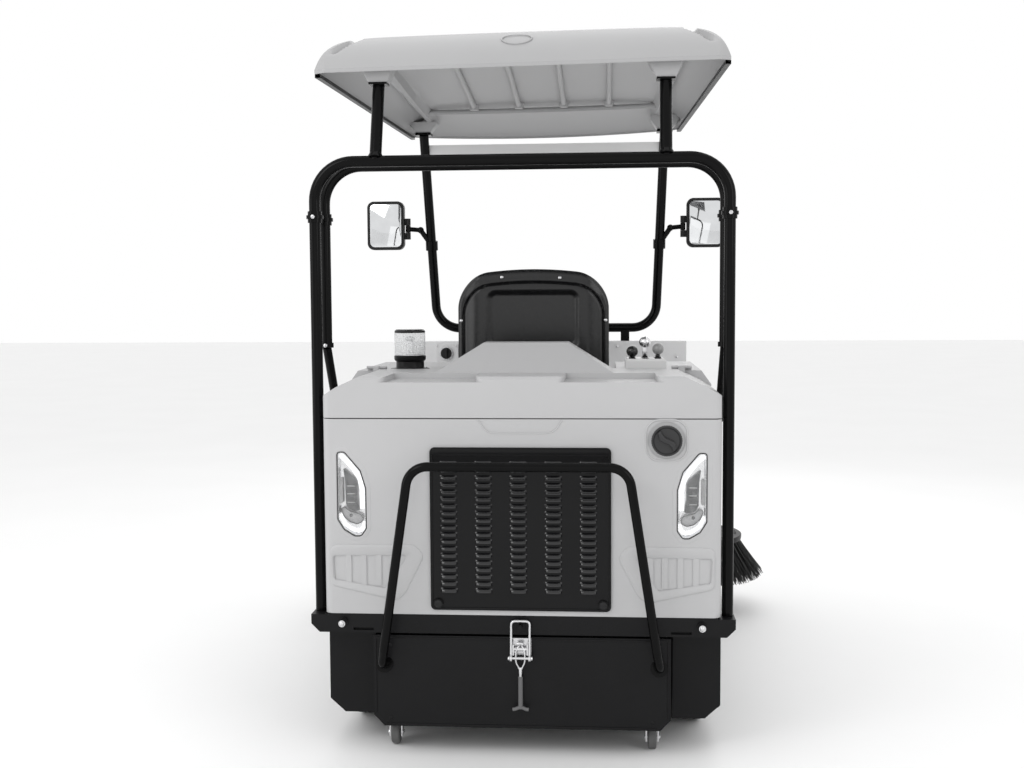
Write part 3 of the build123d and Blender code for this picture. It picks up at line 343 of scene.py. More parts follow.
def lit_bead(name, tint):
    """A milky lamp bead that glows faintly."""
    finish = Finish(name, Emission_Strength=0.5, Coat_Weight=0.3)
    haze = finish.cloud(finish.place(), 240.0, 2.0)
    finish.feed("Base Color", finish.blend(haze, shade(tint, 0.85), tint))
    finish.feed("Emission Color", finish.blend(haze, shade(tint, 0.8), tint))
    finish.feed("Roughness", haze * 0.2 + 0.1)
    return finish.material


def floor_paint(name):
    """Pale, even studio floor with a trace of cloudiness."""
    finish = Finish(name)
    cloud = finish.cloud(finish.place(), 1.4, 3.0)
    finish.feed("Base Color", finish.blend(cloud, (0.86, 0.86, 0.86), (0.90, 0.90, 0.90)))
    finish.feed("Roughness", cloud * 0.1 + 0.6)
    return finish.material


MATERIALS = {}


def make_finishes(colours):
    """Make every finish once, by the record's slot name or a piece's own name."""
    steel = tuple(colours.steel)
    shell = tuple(colours.shell)
    rubber = tuple(colours.rubber)
    MATERIALS.update(
        chassis_black=painted("chassis_black", steel, 0.5, 0.0, shine=0.14),
        black_steel=painted("black_steel", steel, 0.40, 0.04, shine=0.14),
        black_panel=painted("black_panel", shade(steel, 0.7), 0.34, 0.06, shine=0.15),
        # Louvre hoods: a real glossier coat, plus a base colour twice as light as the panel they are pressed from; the
        # lighter base is a painted highlight.
        louvre_gloss=painted("louvre_gloss", shade(steel, 1.4), 0.16, 0.45, shine=0.3),
        gloss_black_tube=painted("gloss_black_tube", tuple(colours.tube), 0.2, 0.1, 0.0002, 0.2, 0.06),
        grey_shell=moulded("grey_shell", shell),
        roof_plastic=moulded("roof_plastic", tuple(colours.roof), 0.40),
        header_paint=moulded("header_paint", (0.78, 0.78, 0.78), 0.35, 0.2),
        # Front cowl: the shell's grey plastic made much lighter to stand in for light falling on it; painted light, not
        # its own colour.
        cowl_plastic=moulded("cowl_plastic", (0.66, 0.66, 0.665)),
        tank_plastic=moulded("tank_plastic", (0.70, 0.71, 0.69), 0.5),
        dark_plastic=moulded("dark_plastic", (0.014, 0.014, 0.0145), 0.38, 0.05, shine=0.2),
        battery_case=moulded("battery_case", (0.04, 0.04, 0.045), 0.5),
        filter_case=moulded("filter_case", (0.22, 0.23, 0.24), 0.5),
        console_plastic=moulded("console_plastic", (0.62, 0.62, 0.62), 0.38, 0.2),
        bare_steel=plated("bare_steel", (0.52, 0.52, 0.53), 0.34, 1.0),
        zinc=plated("zinc", (0.70, 0.70, 0.71), 0.26, 0.4),
        chrome_knob=plated("chrome_knob", (0.80, 0.80, 0.81), 0.12, 0.1),
        seat_shell_plastic=moulded("seat_shell_plastic", tuple(colours.seat), 0.28, 0.30, 0.0002, shine=0.3),
        seat_vinyl=vinyl("seat_vinyl", tuple(colours.seat)),
        cap_plastic=moulded("cap_plastic", (0.022, 0.022, 0.023), 0.3, 0.2, shine=0.3),
        black_knob=moulded("black_knob", (0.006, 0.006, 0.006), 0.2, 0.5, shine=0.3),
        grey_knob=moulded("grey_knob", (0.24, 0.24, 0.24), 0.3, 0.4),
        mirror_housing=moulded("mirror_housing", (0.008, 0.008, 0.008), 0.45, 0.0, 0.0003, shine=0.3),
        floor_steel=treaded("floor_steel", (0.05, 0.05, 0.053)),
        wheel_rim_plastic=moulded("wheel_rim_plastic", (0.018, 0.018, 0.018), 0.5, 0.0, 0.0004),
        tyre_rubber=rubbery("tyre_rubber", rubber),
        flap_rubber=rubbery("flap_rubber", shade(rubber, 1.3), 0.6),
        caster_rubber=rubbery("caster_rubber", (0.05, 0.05, 0.05), 0.5),
        bristle=bristly("bristle", tuple(colours.bristle)),
        lamp_lens=clear("lamp_lens", (0.93, 0.94, 0.95), 0.02, 0.04),
        ribbed_lens=clear("ribbed_lens", (0.86, 0.87, 0.88), 0.42, 0.1, ("Z", 900.0)),
        lamp_core=moulded("lamp_core", (0.018, 0.018, 0.019), 0.2, 0.3, shine=0.3),
        grip_sleeve=moulded("grip_sleeve", (0.11, 0.11, 0.112), 0.45),
        turn_lamp_lens=moulded("turn_lamp_lens", (0.30, 0.30, 0.305), 0.2, 0.4),
        lamp_tray=plated("lamp_tray", (0.78, 0.78, 0.79), 0.2, 0.2),
        lamp_bead=lit_bead("lamp_bead", (0.95, 0.96, 0.97)),
        mirror_glass=mirror_glass("mirror_glass"),
    )
    MATERIALS["beacon_lens"] = MATERIALS["ribbed_lens"]


# ---------------------------------------------------------------- mesh forms
class Form:
    """A mesh in the making, with the few shapes the machine needs."""

    def __init__(self):
        self.bm = bmesh.new()

    def take(self, other, matrix=None):
        """Join another bmesh into this one, moved by a matrix."""
        if matrix is not None:
            other.transform(matrix)
        scratch = bpy.data.meshes.new("scratch")
        other.to_mesh(scratch)
        other.free()
        self.bm.from_mesh(scratch)
        bpy.data.meshes.remove(scratch)

    def skin(self, rings, closed=True, caps=True):
        """Join rings of points, one after another, into a skin."""
        rows = [[self.bm.verts.new(point) for point in ring] for ring in rings]
        count = len(rows[0])
        for low, high in zip(rows, rows[1:]):
            for index in range(count if closed else count - 1):
                after = (index + 1) % count
                self.bm.faces.new((low[index], low[after], high[after], high[index]))
        if caps and closed:
            self.bm.faces.new(list(reversed(rows[0])))
            self.bm.faces.new(rows[-1])
        return rows

    def tube(self, points, radius, sides=10, taper=1.0):
        """A tube along points, thinner towards its end if it tapers."""
        points = [Vector(point) for point in points]
        rings = []
        guide = Vector((0.31, 0.42, 0.85))
        for index, point in enumerate(points):
            ahead = points[min(index + 1, len(points) - 1)]
            behind = points[max(index - 1, 0)]
            along = (ahead - behind).normalized()
            across = along.cross(guide).normalized()
            over = along.cross(across)
            share = index / max(1, len(points) - 1)
            wide = radius * (1 + (taper - 1) * share)
            turns = [math.tau * k / sides for k in range(sides)]
            rings.append([point + (across * math.cos(t) + over * math.sin(t)) * wide for t in turns])
        self.skin(rings)

    def lathe(self, profile, matrix=Matrix.Identity(4), steps=40, caps=True):
        """Turn a profile of (radius, height) about the matrix's Z axis."""
        rings = []
        for radius, height in profile:
            ring = []
            for k in range(steps):
                turn = math.tau * k / steps
                ring.append(matrix @ Vector((radius * math.cos(turn), radius * math.sin(turn), height)))
            rings.append(ring)
        self.skin(rings, caps=caps)

    def plate(self, outline, matrix, depth, bevel=0.0, segments=2):
        """A plate from an outline in the matrix's XY plane, thick along its Z."""
        made = bmesh.new()
        face = made.faces.new([made.verts.new((x, y, 0)) for x, y in outline])
        pulled = bmesh.ops.extrude_face_region(made, geom=[face])
        moved = [item for item in pulled["geom"] if isinstance(item, bmesh.types.BMVert)]
        bmesh.ops.translate(made, verts=moved, vec=(0, 0, depth))
        bmesh.ops.recalc_face_normals(made, faces=made.faces)
        if bevel:
            rim = [edge for edge in made.edges if edge.verts[0] in moved and edge.verts[1] in moved]
            bmesh.ops.bevel(made, geom=rim, offset=bevel, segments=segments, affect="EDGES", profile=0.5)
        self.take(made, matrix)

    def block(self, low, high, bevel=0.0, segments=2, matrix=None):
        """A box between two corners with rounded edges."""
        made = bmesh.new()
        bmesh.ops.create_cube(made, size=1.0)
        low, high = Vector(low), Vector(high)
        for vert in made.verts:
            vert.co = Vector((low[i] + (high[i] - low[i]) * (vert.co[i] + 0.5) for i in range(3)))
        if bevel:
            bmesh.ops.bevel(made, geom=made.edges, offset=bevel, segments=segments, affect="EDGES", profile=0.5)
        self.take(made, matrix)

    def dome(self, matrix, radius, height, steps=14):
        """A bolt or rivet head standing on the matrix's XY plane."""
        profile = [(radius, 0.0)]
        for k in range(1, 5):
            turn = math.pi / 2 * k / 5
            profile.append((radius * math.cos(turn), height * math.sin(turn)))
        profile.append((radius * 0.12, height))
        self.lathe(profile, matrix, steps)

    def hexagon(self, matrix, radius, height):
        """A hexagon bolt head standing on the matrix's XY plane."""
        corners = [(radius * math.cos(math.tau * k / 6), radius * math.sin(math.tau * k / 6)) for k in range(6)]
        self.plate(corners, matrix, height, radius * 0.12)

    def piece(self, name, body, slot, material=None, replaces=(), smooth=True):
        """Turn the form into a piece that rides on a body."""
        bmesh.ops.recalc_face_normals(self.bm, faces=self.bm.faces)
        mesh = bpy.data.meshes.new(name)
        self.bm.to_mesh(mesh)
        self.bm.free()
        return add_piece(name, mesh, body, slot, material, replaces, smooth)


def add_piece(name, mesh, body, slot, material=None, replaces=(), smooth=True):
    """Show a mesh as a piece that rides on a body and has a finish."""
    made = bpy.data.objects.new(name, mesh)
    bpy.context.scene.collection.objects.link(made)
    mesh.materials.clear()
    mesh.materials.append(MATERIALS[material or slot])
    if smooth:
        mesh.shade_smooth()
        mesh.set_sharp_from_angle(angle=SMOOTH_ANGLE)
    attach(made, body)
    if replaces:
        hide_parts(*replaces)
    return made


def facing(point, normal, up=(0, 0, 1)):
    """A frame at a point whose Z is the normal and whose Y is as near up as it can be."""
    z_axis = Vector(normal).normalized()
    x_axis = Vector(up).cross(z_axis)
    if x_axis.length < 0.001:
        x_axis = Vector((1, 0, 0))
    x_axis.normalize()
    y_axis = z_axis.cross(x_axis)
    made = Matrix((x_axis, y_axis, z_axis)).transposed().to_4x4()
    made.translation = Vector(point)
    return made


def rear_frame(y, x=0.0, z=0.0):
    """A frame on the rear face: X to the right, Y up, Z towards the rear."""
    made = Matrix(((1, 0, 0), (0, 0, 1), (0, -1, 0))).transposed().to_4x4()
    made.translation = Vector((x, y, z))
    return made


def rounded_outline(half_width, half_height, radius, steps=6, centre=(0, 0)):
    """Outline of a rectangle with round corners."""
    points = []
    corners = ((1, 1, 0), (-1, 1, 90), (-1, -1, 180), (1, -1, 270))
    for x_sign, y_sign, start in corners:
        for k in range(steps + 1):
            turn = math.radians(start + 90 * k / steps)
            x = x_sign * (half_width - radius) + radius * math.cos(turn)
            y = y_sign * (half_height - radius) + radius * math.sin(turn)
            points.append((centre[0] + x, centre[1] + y))
    return points


def soft_corners(points, radius, steps=5):
    """A closed outline of (x, z) points with its corners rounded."""
    made = []
    count = len(points)
    for index, point in enumerate(points):
        corner = Vector(point)
        ways = [Vector(points[index - 1]) - corner, Vector(points[(index + 1) % count]) - corner]
        turn = max(0.2, ways[0].angle(ways[1]))
        reach = min(radius / math.tan(turn / 2), ways[0].length * 0.45, ways[1].length * 0.45)
        start, end = (corner + way.normalized() * reach for way in ways)
        for k in range(steps + 1):
            share = k / steps
            spot = start.lerp(corner, share).lerp(corner.lerp(end, share), share)
            made.append((spot.x, spot.y))
    return made


def spread_loop(points, count):
    """A closed outline as evenly spread points, starting at its first point."""
    loop = [(x, 0, z) for x, z in points] + [(points[0][0], 0, points[0][1])]
    return [(spot.x, spot.z) for spot in along_line(loop, count + 1)[:-1]]


def shrunk(points, inset):
    """A closed outline moved inwards by an inset, along its own normals."""
    count = len(points)
    area = sum(points[i][0] * points[(i + 1) % count][1] - points[(i + 1) % count][0] * points[i][1] for i in range(count))
    sign = 1 if area > 0 else -1
    made = []
    for index, point in enumerate(points):
        along = Vector(points[(index + 1) % count]) - Vector(points[index - 1])
        normal = Vector((-along.y, along.x)).normalized() * sign * inset
        made.append((point[0] + normal.x, point[1] + normal.y))
    return made


def band(form, outline, steps):
    """A band along an outline on the rear face, from pairs of (inset, height over the face)."""
    rings = []
    for inset, height in steps:
        rings.append([(x, REAR_Y - height, z) for x, z in shrunk(outline, inset)])
    form.skin(rings + [rings[0]], caps=False)


def settle(piece):
    """Replace a piece's mesh by what its modifiers make of it."""
    depsgraph = bpy.context.evaluated_depsgraph_get()
    made = bpy.data.meshes.new_from_object(piece.evaluated_get(depsgraph))
    piece.modifiers.clear()
    piece.data = made


def sheet_skin(points, wall, direction=None):
    """A bmesh sheet from rows of points, thickened by a wall."""
    made = bmesh.new()
    rows = [[made.verts.new(point) for point in row] for row in points]
    for low, high in zip(rows, rows[1:]):
        for index in range(len(low) - 1):
            made.faces.new((low[index], low[index + 1], high[index + 1], high[index]))
    bmesh.ops.recalc_face_normals(made, faces=made.faces)
    if direction is not None:
        made.normal_update()
        middle = max(made.faces, key=lambda face: face.calc_area())
        if middle.normal.dot(Vector(direction)) < 0:
            bmesh.ops.reverse_faces(made, faces=made.faces)
    bmesh.ops.solidify(made, geom=made.faces, thickness=wall)
    return made


def soft_step(value, low, high):
    """0 below low, 1 above high and a smooth rise between."""
    share = min(1.0, max(0.0, (value - low) / (high - low)))
    return share * share * (3 - 2 * share)


def middle_of(node):
    """The middle of a node's box."""
    low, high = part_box(node)
    return (low + high) / 2


# ---------------------------------------------------------------- roof
ROOF_LOW, ROOF_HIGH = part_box("roof_canopy")
ROOF_RIM = ROOF_LOW.z + 0.032
ROOF_REAR_HALF = ROOF_HIGH.x
ROOF_FRONT_HALF = ROOF_HIGH.x - 0.053
ROOF_CROWN = 0.118
ROOF_BOW = 0.040
ROOF_LEAN = math.tan(math.radians(0.8))


def roof_plan(across, along):
    """A point of the roof's plan, from shares across (-1 to 1) and along (0 to 1)."""
    half = ROOF_REAR_HALF + (ROOF_FRONT_HALF - ROOF_REAR_HALF) * along
    bow = ROOF_BOW * (1 - across * across) * soft_step(along, 0.55, 1.0)
    length = ROOF_HIGH.y - ROOF_LOW.y
    corner = 0.030 * max(0.0, abs(across) - 0.95) / 0.05
    pull = corner * (max(0.0, 1 - along / 0.03) - max(0.0, 1 - (1 - along) / 0.03))
    return across * half, ROOF_LOW.y + 0.002 + (length - 0.002) * along + bow + pull * 0.6


def roof_height(x, y, across, along):
    """Height of the roof's outer skin."""
    half = abs(x) / abs(across) if abs(across) > 0.001 else ROOF_REAR_HALF
    from_side = (1 - abs(across)) * half
    from_rear = along * (ROOF_HIGH.y - ROOF_LOW.y)
    from_front = (1 - along) * (ROOF_HIGH.y - ROOF_LOW.y)
    side_run = 0.034 + 0.021 * soft_step(along, 0.05, 0.3)
    rises = [1 - math.exp(-from_rear / 0.052), 1 - math.exp(-from_side / side_run), 1 - math.exp(-from_front / 0.10)]
    rises = [max(0.002, rise) for rise in rises]
    rise = (sum(share ** -6 for share in rises) - 2) ** (-1 / 6)
    crown = ROOF_CROWN - 0.045 * soft_step(along, 0.25, 0.85)
    arch = 0.010 * (1 - across * across) * math.sin(math.pi * along)
    line = 0.020 + min(0.083, from_rear)
    groove = 1 - soft_step(abs(from_side - line), 0.006, 0.017)
    groove *= soft_step(from_rear, 0.022, 0.05) * soft_step(from_front, 0.05, 0.12)
    dip = 0.012 * (1 - across * across) * soft_step(along, 0.85, 1.0)
    lean = (x + ROOF_REAR_HALF) * ROOF_LEAN
    return ROOF_RIM + crown * rise + arch + lean - 0.026 * groove - dip


def roof_points(columns=128, rows=140):
    """Rows of points over the roof's outer skin, closer together near its edges."""
    made = []
    for j in range(rows + 1):
        along = (1 - math.cos(math.pi * j / rows)) / 2
        row = []
        for i in range(columns + 1):
            across = math.sin(math.pi * (i / columns - 0.5))
            x, y = roof_plan(across, along)
            row.append(Vector((x, y, roof_height(x, y, across, along))))
        made.append(row)
    return made


def build_roof(sizes):
    """The moulded roof: shell, edge lip, ribs, ledge, mounting pads, badge ring and side trim."""
    points = roof_points()
    shell = Form()
    shell.take(sheet_skin(points, sizes.roof_wall, (0, 0, 1)))
    edge = points[0] + [row[-1] for row in points[1:]] + points[-1][-2::-1] + [row[0] for row in points[-2:0:-1]]
    centre = Vector((0, (ROOF_LOW.y + ROOF_HIGH.y) / 2, 0))
    rings = []
    for inward, drop in ((0.0005, 0.001), (0.0, -0.006), (0.0015, -0.0098), (0.0055, -0.0098), (0.0062, -0.004), (0.0062, 0.001)):
        ring = []
        for point in edge:
            toward = (centre - Vector((point.x, point.y, 0))).normalized()
            ring.append(point + toward * inward + Vector((0, 0, drop)))
        rings.append(ring)
    shell.skin(rings + [rings[0]], caps=False)
    shell.piece("roof_shell", "root", "roof_plastic", replaces=("roof_canopy",))

    ribs = Form()
    for x in (-0.252, -0.084, 0.084, 0.252):
        line = []
        for k in range(25):
            y = -0.62 + 0.94 * k / 24
            along = (y - ROOF_LOW.y) / (ROOF_HIGH.y - ROOF_LOW.y)
            half = ROOF_REAR_HALF + (ROOF_FRONT_HALF - ROOF_REAR_HALF) * along
            swell = 0.010 if k > 21 else 0.0
            line.append((x, y, roof_height(x, y, x / half, along) - sizes.roof_wall - 0.004 - swell * 0.2))
        ribs.tube(line, 0.010, 12)
        ribs.lathe([(0.002, -0.014), (0.016, -0.012), (0.019, -0.002), (0.019, 0.010)], Matrix.Translation(line[-1]), 20)
    for height, radius in ((0.0, 0.010), (0.026, 0.007)):
        ledge = []
        for k in range(41):
            x = -0.43 + 0.86 * k / 40
            y = 0.338 + 0.02 * (1 - (x / 0.43) ** 2)
            ledge.append((x, y, 1.994 + height + (x + ROOF_REAR_HALF) * ROOF_LEAN))
        ribs.tube(ledge, radius, 12)
    ribs.piece("roof_ribs", "root", "roof_plastic", replaces=("roof_canopy",))

    pads = Form()
    for side, word in SIDES:
        for x, y, foot_z in ((0.408, -0.800, 1.914), (0.465, 0.466, 1.936)):
            along = (y - ROOF_LOW.y) / (ROOF_HIGH.y - ROOF_LOW.y)
            half = ROOF_REAR_HALF + (ROOF_FRONT_HALF - ROOF_REAR_HALF) * along
            behind = along - (0.030 if y < 0 else -0.040) / (ROOF_HIGH.y - ROOF_LOW.y)
            top_z = roof_height(side * x, y, x / half, behind) - sizes.roof_wall - 0.006
            middle_z = min(1.970, top_z - 0.002)
            rings = []
            for wide, deep, z in ((0.028, 0.025, foot_z), (0.055, 0.038, middle_z), (0.055, 0.038, top_z)):
                outline = rounded_outline(wide, deep, 0.006)
                rings.append([(side * x + px, y + py * (1 if py > 0 or y > 0 else 0.7), z) for px, py in outline])
            pads.skin(rings)
    pads.piece("roof_mount_pads", "root", "roof_plastic", replaces=("roof_canopy",))

    ring = Form()
    badge_y = ROOF_LOW.y + 0.052
    outer = []
    for radius, lift in ((0.0450, 0.0002), (0.0440, 0.0022), (0.0415, 0.0022), (0.0405, 0.0004)):
        row = []
        for k in range(64):
            turn = math.tau * k / 64
            x = -0.011 + radius * math.cos(turn)
            y = badge_y + radius * 0.42 * math.sin(turn)
            along = (y - ROOF_LOW.y) / (ROOF_HIGH.y - ROOF_LOW.y)
            z = roof_height(x, y, x / ROOF_REAR_HALF, along)
            row.append(Vector((x, y, z)) + Vector((0, -0.7, 0.7)) * lift)
        outer.append(row)
    ring.skin(outer + [outer[0]], caps=False)
    ring.piece("roof_blank_badge_ring", "root", "roof_plastic", replaces=("roof_canopy",))

    trim = Form()
    for side, word in SIDES:
        line = [row[-1 if side > 0 else 0] for row in points[3:-3]]
        line = [point + Vector((-side * 0.008, 0, -0.0095)) for point in line]
        section = ((-0.007, 0.0), (-0.007, -0.011), (0.008, -0.011), (0.008, 0.0))
        trim.skin([[point + Vector((px, 0, pz)) for point in line] for px, pz in section + (section[0],)], closed=False)
    trim.piece("roof_edge_trim", "root", "black_panel", replaces=("roof_canopy",))


# ---------------------------------------------------------------- seat
def box_inset(x, z, half_width, low, high, radius):
    """How far a point is inside a rounded box standing on the X axis."""
    middle = (low + high) / 2
    over_x = abs(x) - (half_width - radius)
    over_z = abs(z - middle) - ((high - low) / 2 - radius)
    outside = math.hypot(max(over_x, 0.0), max(over_z, 0.0))
    return radius - outside - min(max(over_x, over_z), 0.0)


def build_seat_shell(sizes):
    """The moulded seat back with its rim, recessed panel and rivets, and the seat pan."""
    low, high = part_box("seat_shell")
    half_width = high.x
    base_z = low.z + 0.004
    rear_y = low.y
    front_y = rear_y + 0.034
    arch = 0.026
    arch_radius = (half_width ** 2 + arch ** 2) / (2 * arch)

    def sag(x):
        return arch_radius - math.sqrt(arch_radius ** 2 - x ** 2)

    def depth(x, z):
        flat_z = z + sag(x)
        inset = box_inset(x, flat_z, half_width, base_z, high.z, 0.100)
        inner = box_inset(x, flat_z, half_width - 0.019, base_z - 0.03, high.z - 0.042, 0.088)
        roll = 0.008 * (1 - math.sin(min(1.0, max(0.0, inset) / 0.014) * math.pi / 2))
        side = 0.019 * (1 - soft_step(half_width - abs(x), 0.010, 0.075))
        top = 0.005 * (1 - soft_step(high.z - flat_z, 0.012, 0.075))
        groove = 0.007 * math.exp(-(inner / 0.0034) ** 2)
        panel = box_inset(x, z, 0.152, 1.130, 1.323, 0.030)
        return rear_y + 0.0006 + roll + side + top + groove + 0.014 * soft_step(panel, -0.004, 0.018)

    def corner_pull(share_x, share_z, radius_top, radius_low):
        x = share_x * half_width
        z = base_z + (high.z - base_z) * share_z
        for radius, corner_z, sign in ((radius_top, high.z, 1), (radius_low, base_z, -1)):
            dx = (abs(x) - (half_width - radius)) / radius
            dz = (sign * (z - corner_z) + radius) / radius
            if dx > 0 and dz > 0:
                x = math.copysign(half_width - radius + radius * dx * math.sqrt(1 - dz * dz / 2), x)
                z = corner_z + sign * (radius * dz * math.sqrt(1 - dx * dx / 2) - radius)
        return x, z - sag(x)

    form = Form()
    count = 150
    rows = []
    for j in range(count + 1):
        row = []
        for i in range(count + 1):
            x, z = corner_pull(2 * i / count - 1, j / count, 0.105, 0.060)
            row.append(Vector((x, depth(x, z), z)))
        rows.append(row)
    form.skin(rows, closed=False)
    edge = rows[0] + [row[-1] for row in rows[1:]] + rows[-1][-2::-1] + [row[0] for row in rows[-2:0:-1]]
    rings = [edge, [Vector((point.x, front_y - 0.004, point.z)) for point in edge]]
    middle_z = (base_z + high.z) / 2
    rings.append([Vector((point.x * 0.988, front_y, middle_z + (point.z - middle_z) * 0.988)) for point in edge])
    form.bm.faces.new(form.skin(rings, caps=False)[-1])
    pan = rounded_outline(half_width - 0.010, 0.211, 0.030, 8, (0, -0.036))
    form.plate(pan, Matrix.Translation((0, 0, base_z)), 0.016, 0.005)
    for side, word in SIDES:
        form.block((side * 0.170 - 0.024, -0.240, low.z), (side * 0.170 + 0.024, 0.060, base_z + 0.002), 0.001)
    form.piece("seat_back_shell", "seat", "seat_shell_plastic", replaces=("seat_shell",))

    rivets = Form()
    spots = ((-0.102, 1.366), (0.089, 1.363), (-0.239, 1.223), (0.239, 1.223), (-0.239, 1.05), (0.239, 1.05))
    for x, z in spots:
        y = depth(x, z)
        rivets.dome(facing((x, y - 0.0004, z), BACK), sizes.rivet_radius, 0.0035)
    rivets.piece("seat_rivets", "seat", "zinc", replaces=("seat_shell",))

    piping = Form()
    line = []
    for k in range(0, len(edge), 4):
        line.append(Vector((edge[k].x * 0.94, front_y + 0.002, middle_z + (edge[k].z - middle_z) * 0.94)))
    piping.tube(line + line[:1], 0.004, 8)
    piping.piece("seat_edge_piping", "seat", "seat_vinyl", replaces=("seat_shell",))


def crowned_block(low, high, corner, pull):
    """A padded form: a rounded block whose sides pull in between its corners."""
    form = Form()
    form.block(low, high, corner, 4)
    bmesh.ops.subdivide_edges(form.bm, edges=form.bm.edges, cuts=2, use_grid_fill=True)
    middle = (Vector(low) + Vector(high)) / 2
    half = (Vector(high) - Vector(low)) / 2
    for vert in form.bm.verts:
        share = Vector(((vert.co[i] - middle[i]) / half[i] for i in range(3)))
        for i in range(3):
            others = [1 - share[j] ** 2 for j in range(3) if j != i]
            vert.co[i] -= share[i] * pull[i] * others[0] * others[1]
    return form


def inflate(piece, swell, voxel=0.006):
    """Blow a padded piece up a little with cloth, then keep the result."""
    remesh = piece.modifiers.new("remesh", "REMESH")
    remesh.mode = "VOXEL"
    remesh.voxel_size = voxel
    settle(piece)
    rest = [vert.co.copy() for vert in piece.data.vertices]
    cloth = piece.modifiers.new("cloth", "CLOTH")
    cloth.settings.use_pressure = True
    cloth.settings.uniform_pressure_force = 4.0
    cloth.settings.effector_weights.gravity = 0.0
    cloth.settings.tension_stiffness = 20
    cloth.settings.compression_stiffness = 20
    cloth.point_cache.frame_end = 20
    for step in range(1, 21):
        bpy.context.scene.frame_set(step)
    settle(piece)
    bpy.context.scene.frame_set(1)
    for vert, start in zip(piece.data.vertices, rest):
        move = vert.co - start
        if move.length > swell:
            vert.co = start + move * (swell / move.length)
    smooth = piece.modifiers.new("smooth", "SMOOTH")
    smooth.iterations = 3
    finer = piece.modifiers.new("finer", "SUBSURF")
    finer.levels = 1
    settle(piece)


def pinch_channels(piece, axis, places, depth, width, face_axis, face_sign):
    """Draw sewn channels into a padded piece, across one axis."""
    span = [vert.co[face_axis] for vert in piece.data.vertices]
    face = max(span) if face_sign > 0 else min(span)
    for vert in piece.data.vertices:
        near = 1 - min(1.0, abs(vert.co[face_axis] - face) / 0.045)
        for place in places:
            gap = abs(vert.co[axis] - place) / width
            if gap < 1:
                vert.co[face_axis] -= face_sign * depth * near * (1 - gap) ** 2 * (1 + gap)


def build_padding(name, node, low, high, corner, pull, channels, axis, face_axis, face_sign, swell):
    """One vinyl pad, blown up and sewn."""
    form = crowned_block(low, high, corner, pull)
    piece = form.piece(name, "seat", "seat_vinyl", replaces=(node,))
    inflate(piece, swell)
    pinch_channels(piece, axis, channels, 0.0075, 0.014, face_axis, face_sign)
    lowest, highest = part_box(node)
    for vert in piece.data.vertices:
        for i in range(3):
            vert.co[i] = min(max(vert.co[i], lowest[i] - 0.004), highest[i] + 0.008)
    piece.data.materials.clear()
    piece.data.materials.append(MATERIALS["seat_vinyl"])
    piece.data.shade_smooth()


# ---------------------------------------------------------------- rear face
REAR_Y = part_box("rear_shell")[0].y
LOUVRE_LOW, LOUVRE_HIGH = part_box("louvre_panel")
LOUVRE_FACE = REAR_Y - 0.006
LOUVRE_ROWS = 19
LOUVRE_COLUMNS = 5
LOUVRE_PITCH = (0.098, 0.020)
LOUVRE_MIDDLE = (-0.005, 0.659)


def build_louvres(sizes):
    """The pressed hoods over the slots, the folded frame and the clips of the rear panel."""
    hoods = Form()
    half = 0.0245
    for column in range(LOUVRE_COLUMNS):
        for row in range(LOUVRE_ROWS):
            x = LOUVRE_MIDDLE[0] + (column - 2) * LOUVRE_PITCH[0]
            z = LOUVRE_MIDDLE[1] + (row - 9) * LOUVRE_PITCH[1] + 0.0065
            rows = []
            for j in range(6):
                share = j / 5
                line = []
                for i in range(13):
                    across = -1 + i / 6
                    swell = math.sqrt(max(0.0, 1 - across ** 4)) * math.sin(share * math.pi / 2)
                    line.append(Vector((x + across * half, LOUVRE_FACE + 0.0006 - sizes.louvre_lift * swell, z - 0.013 * share)))
                rows.append(line)
            hoods.take(sheet_skin(rows, 0.0012, (0, -1, 0)))
    # The hoods take a lighter, glossier copy of the panel black; the lighter base colour is a painted highlight.
    hoods.piece("louvre_hoods", "root", "black_panel", "louvre_gloss")

    frame_form = Form()
    top = LOUVRE_HIGH.z - 0.022
    frame_form.block((-0.246, LOUVRE_FACE - 0.0022, top), (0.246, LOUVRE_FACE + 0.0004, LOUVRE_HIGH.z - 0.004), 0.001)
    for x in (-0.249, 0.246):
        frame_form.block((x, LOUVRE_FACE - 0.0022, LOUVRE_LOW.z + 0.012), (x + 0.003, LOUVRE_FACE + 0.0004, top), 0.0008)
    frame_form.block((-0.246, LOUVRE_FACE - 0.0022, LOUVRE_LOW.z + 0.004), (0.246, LOUVRE_FACE + 0.0004, LOUVRE_LOW.z + 0.008), 0.0008)
    frame_form.piece("louvre_panel_folds", "root", "black_panel")

    clips = Form()
    for side, word in SIDES:
        spot = facing((side * 0.232, LOUVRE_LOW.y - 0.0002, LOUVRE_LOW.z + 0.020), BACK)
        clips.lathe([(0.0105, 0.0), (0.0105, 0.0012), (0.006, 0.0026), (0.0008, 0.003)], spot, 24)
        clips.block((side * 0.232 - 0.0075, LOUVRE_LOW.y - 0.0042, LOUVRE_LOW.z + 0.0188), (side * 0.232 + 0.0075, LOUVRE_LOW.y - 0.0018, LOUVRE_LOW.z + 0.0212), 0.0006)
    clips.piece("louvre_panel_clip_heads", "root", "dark_plastic")


VENT_OUTER = ((-0.541, 0.604), (-0.300, 0.606), (-0.272, 0.574), (-0.327, 0.466), (-0.352, 0.444), (-0.541, 0.487))
VENT_INNER = ((-0.534, 0.5735), (-0.316, 0.5765), (-0.385, 0.4785), (-0.531, 0.503))
VENT_POSTS = (0.532, 0.481, 0.438, 0.395, 0.355)


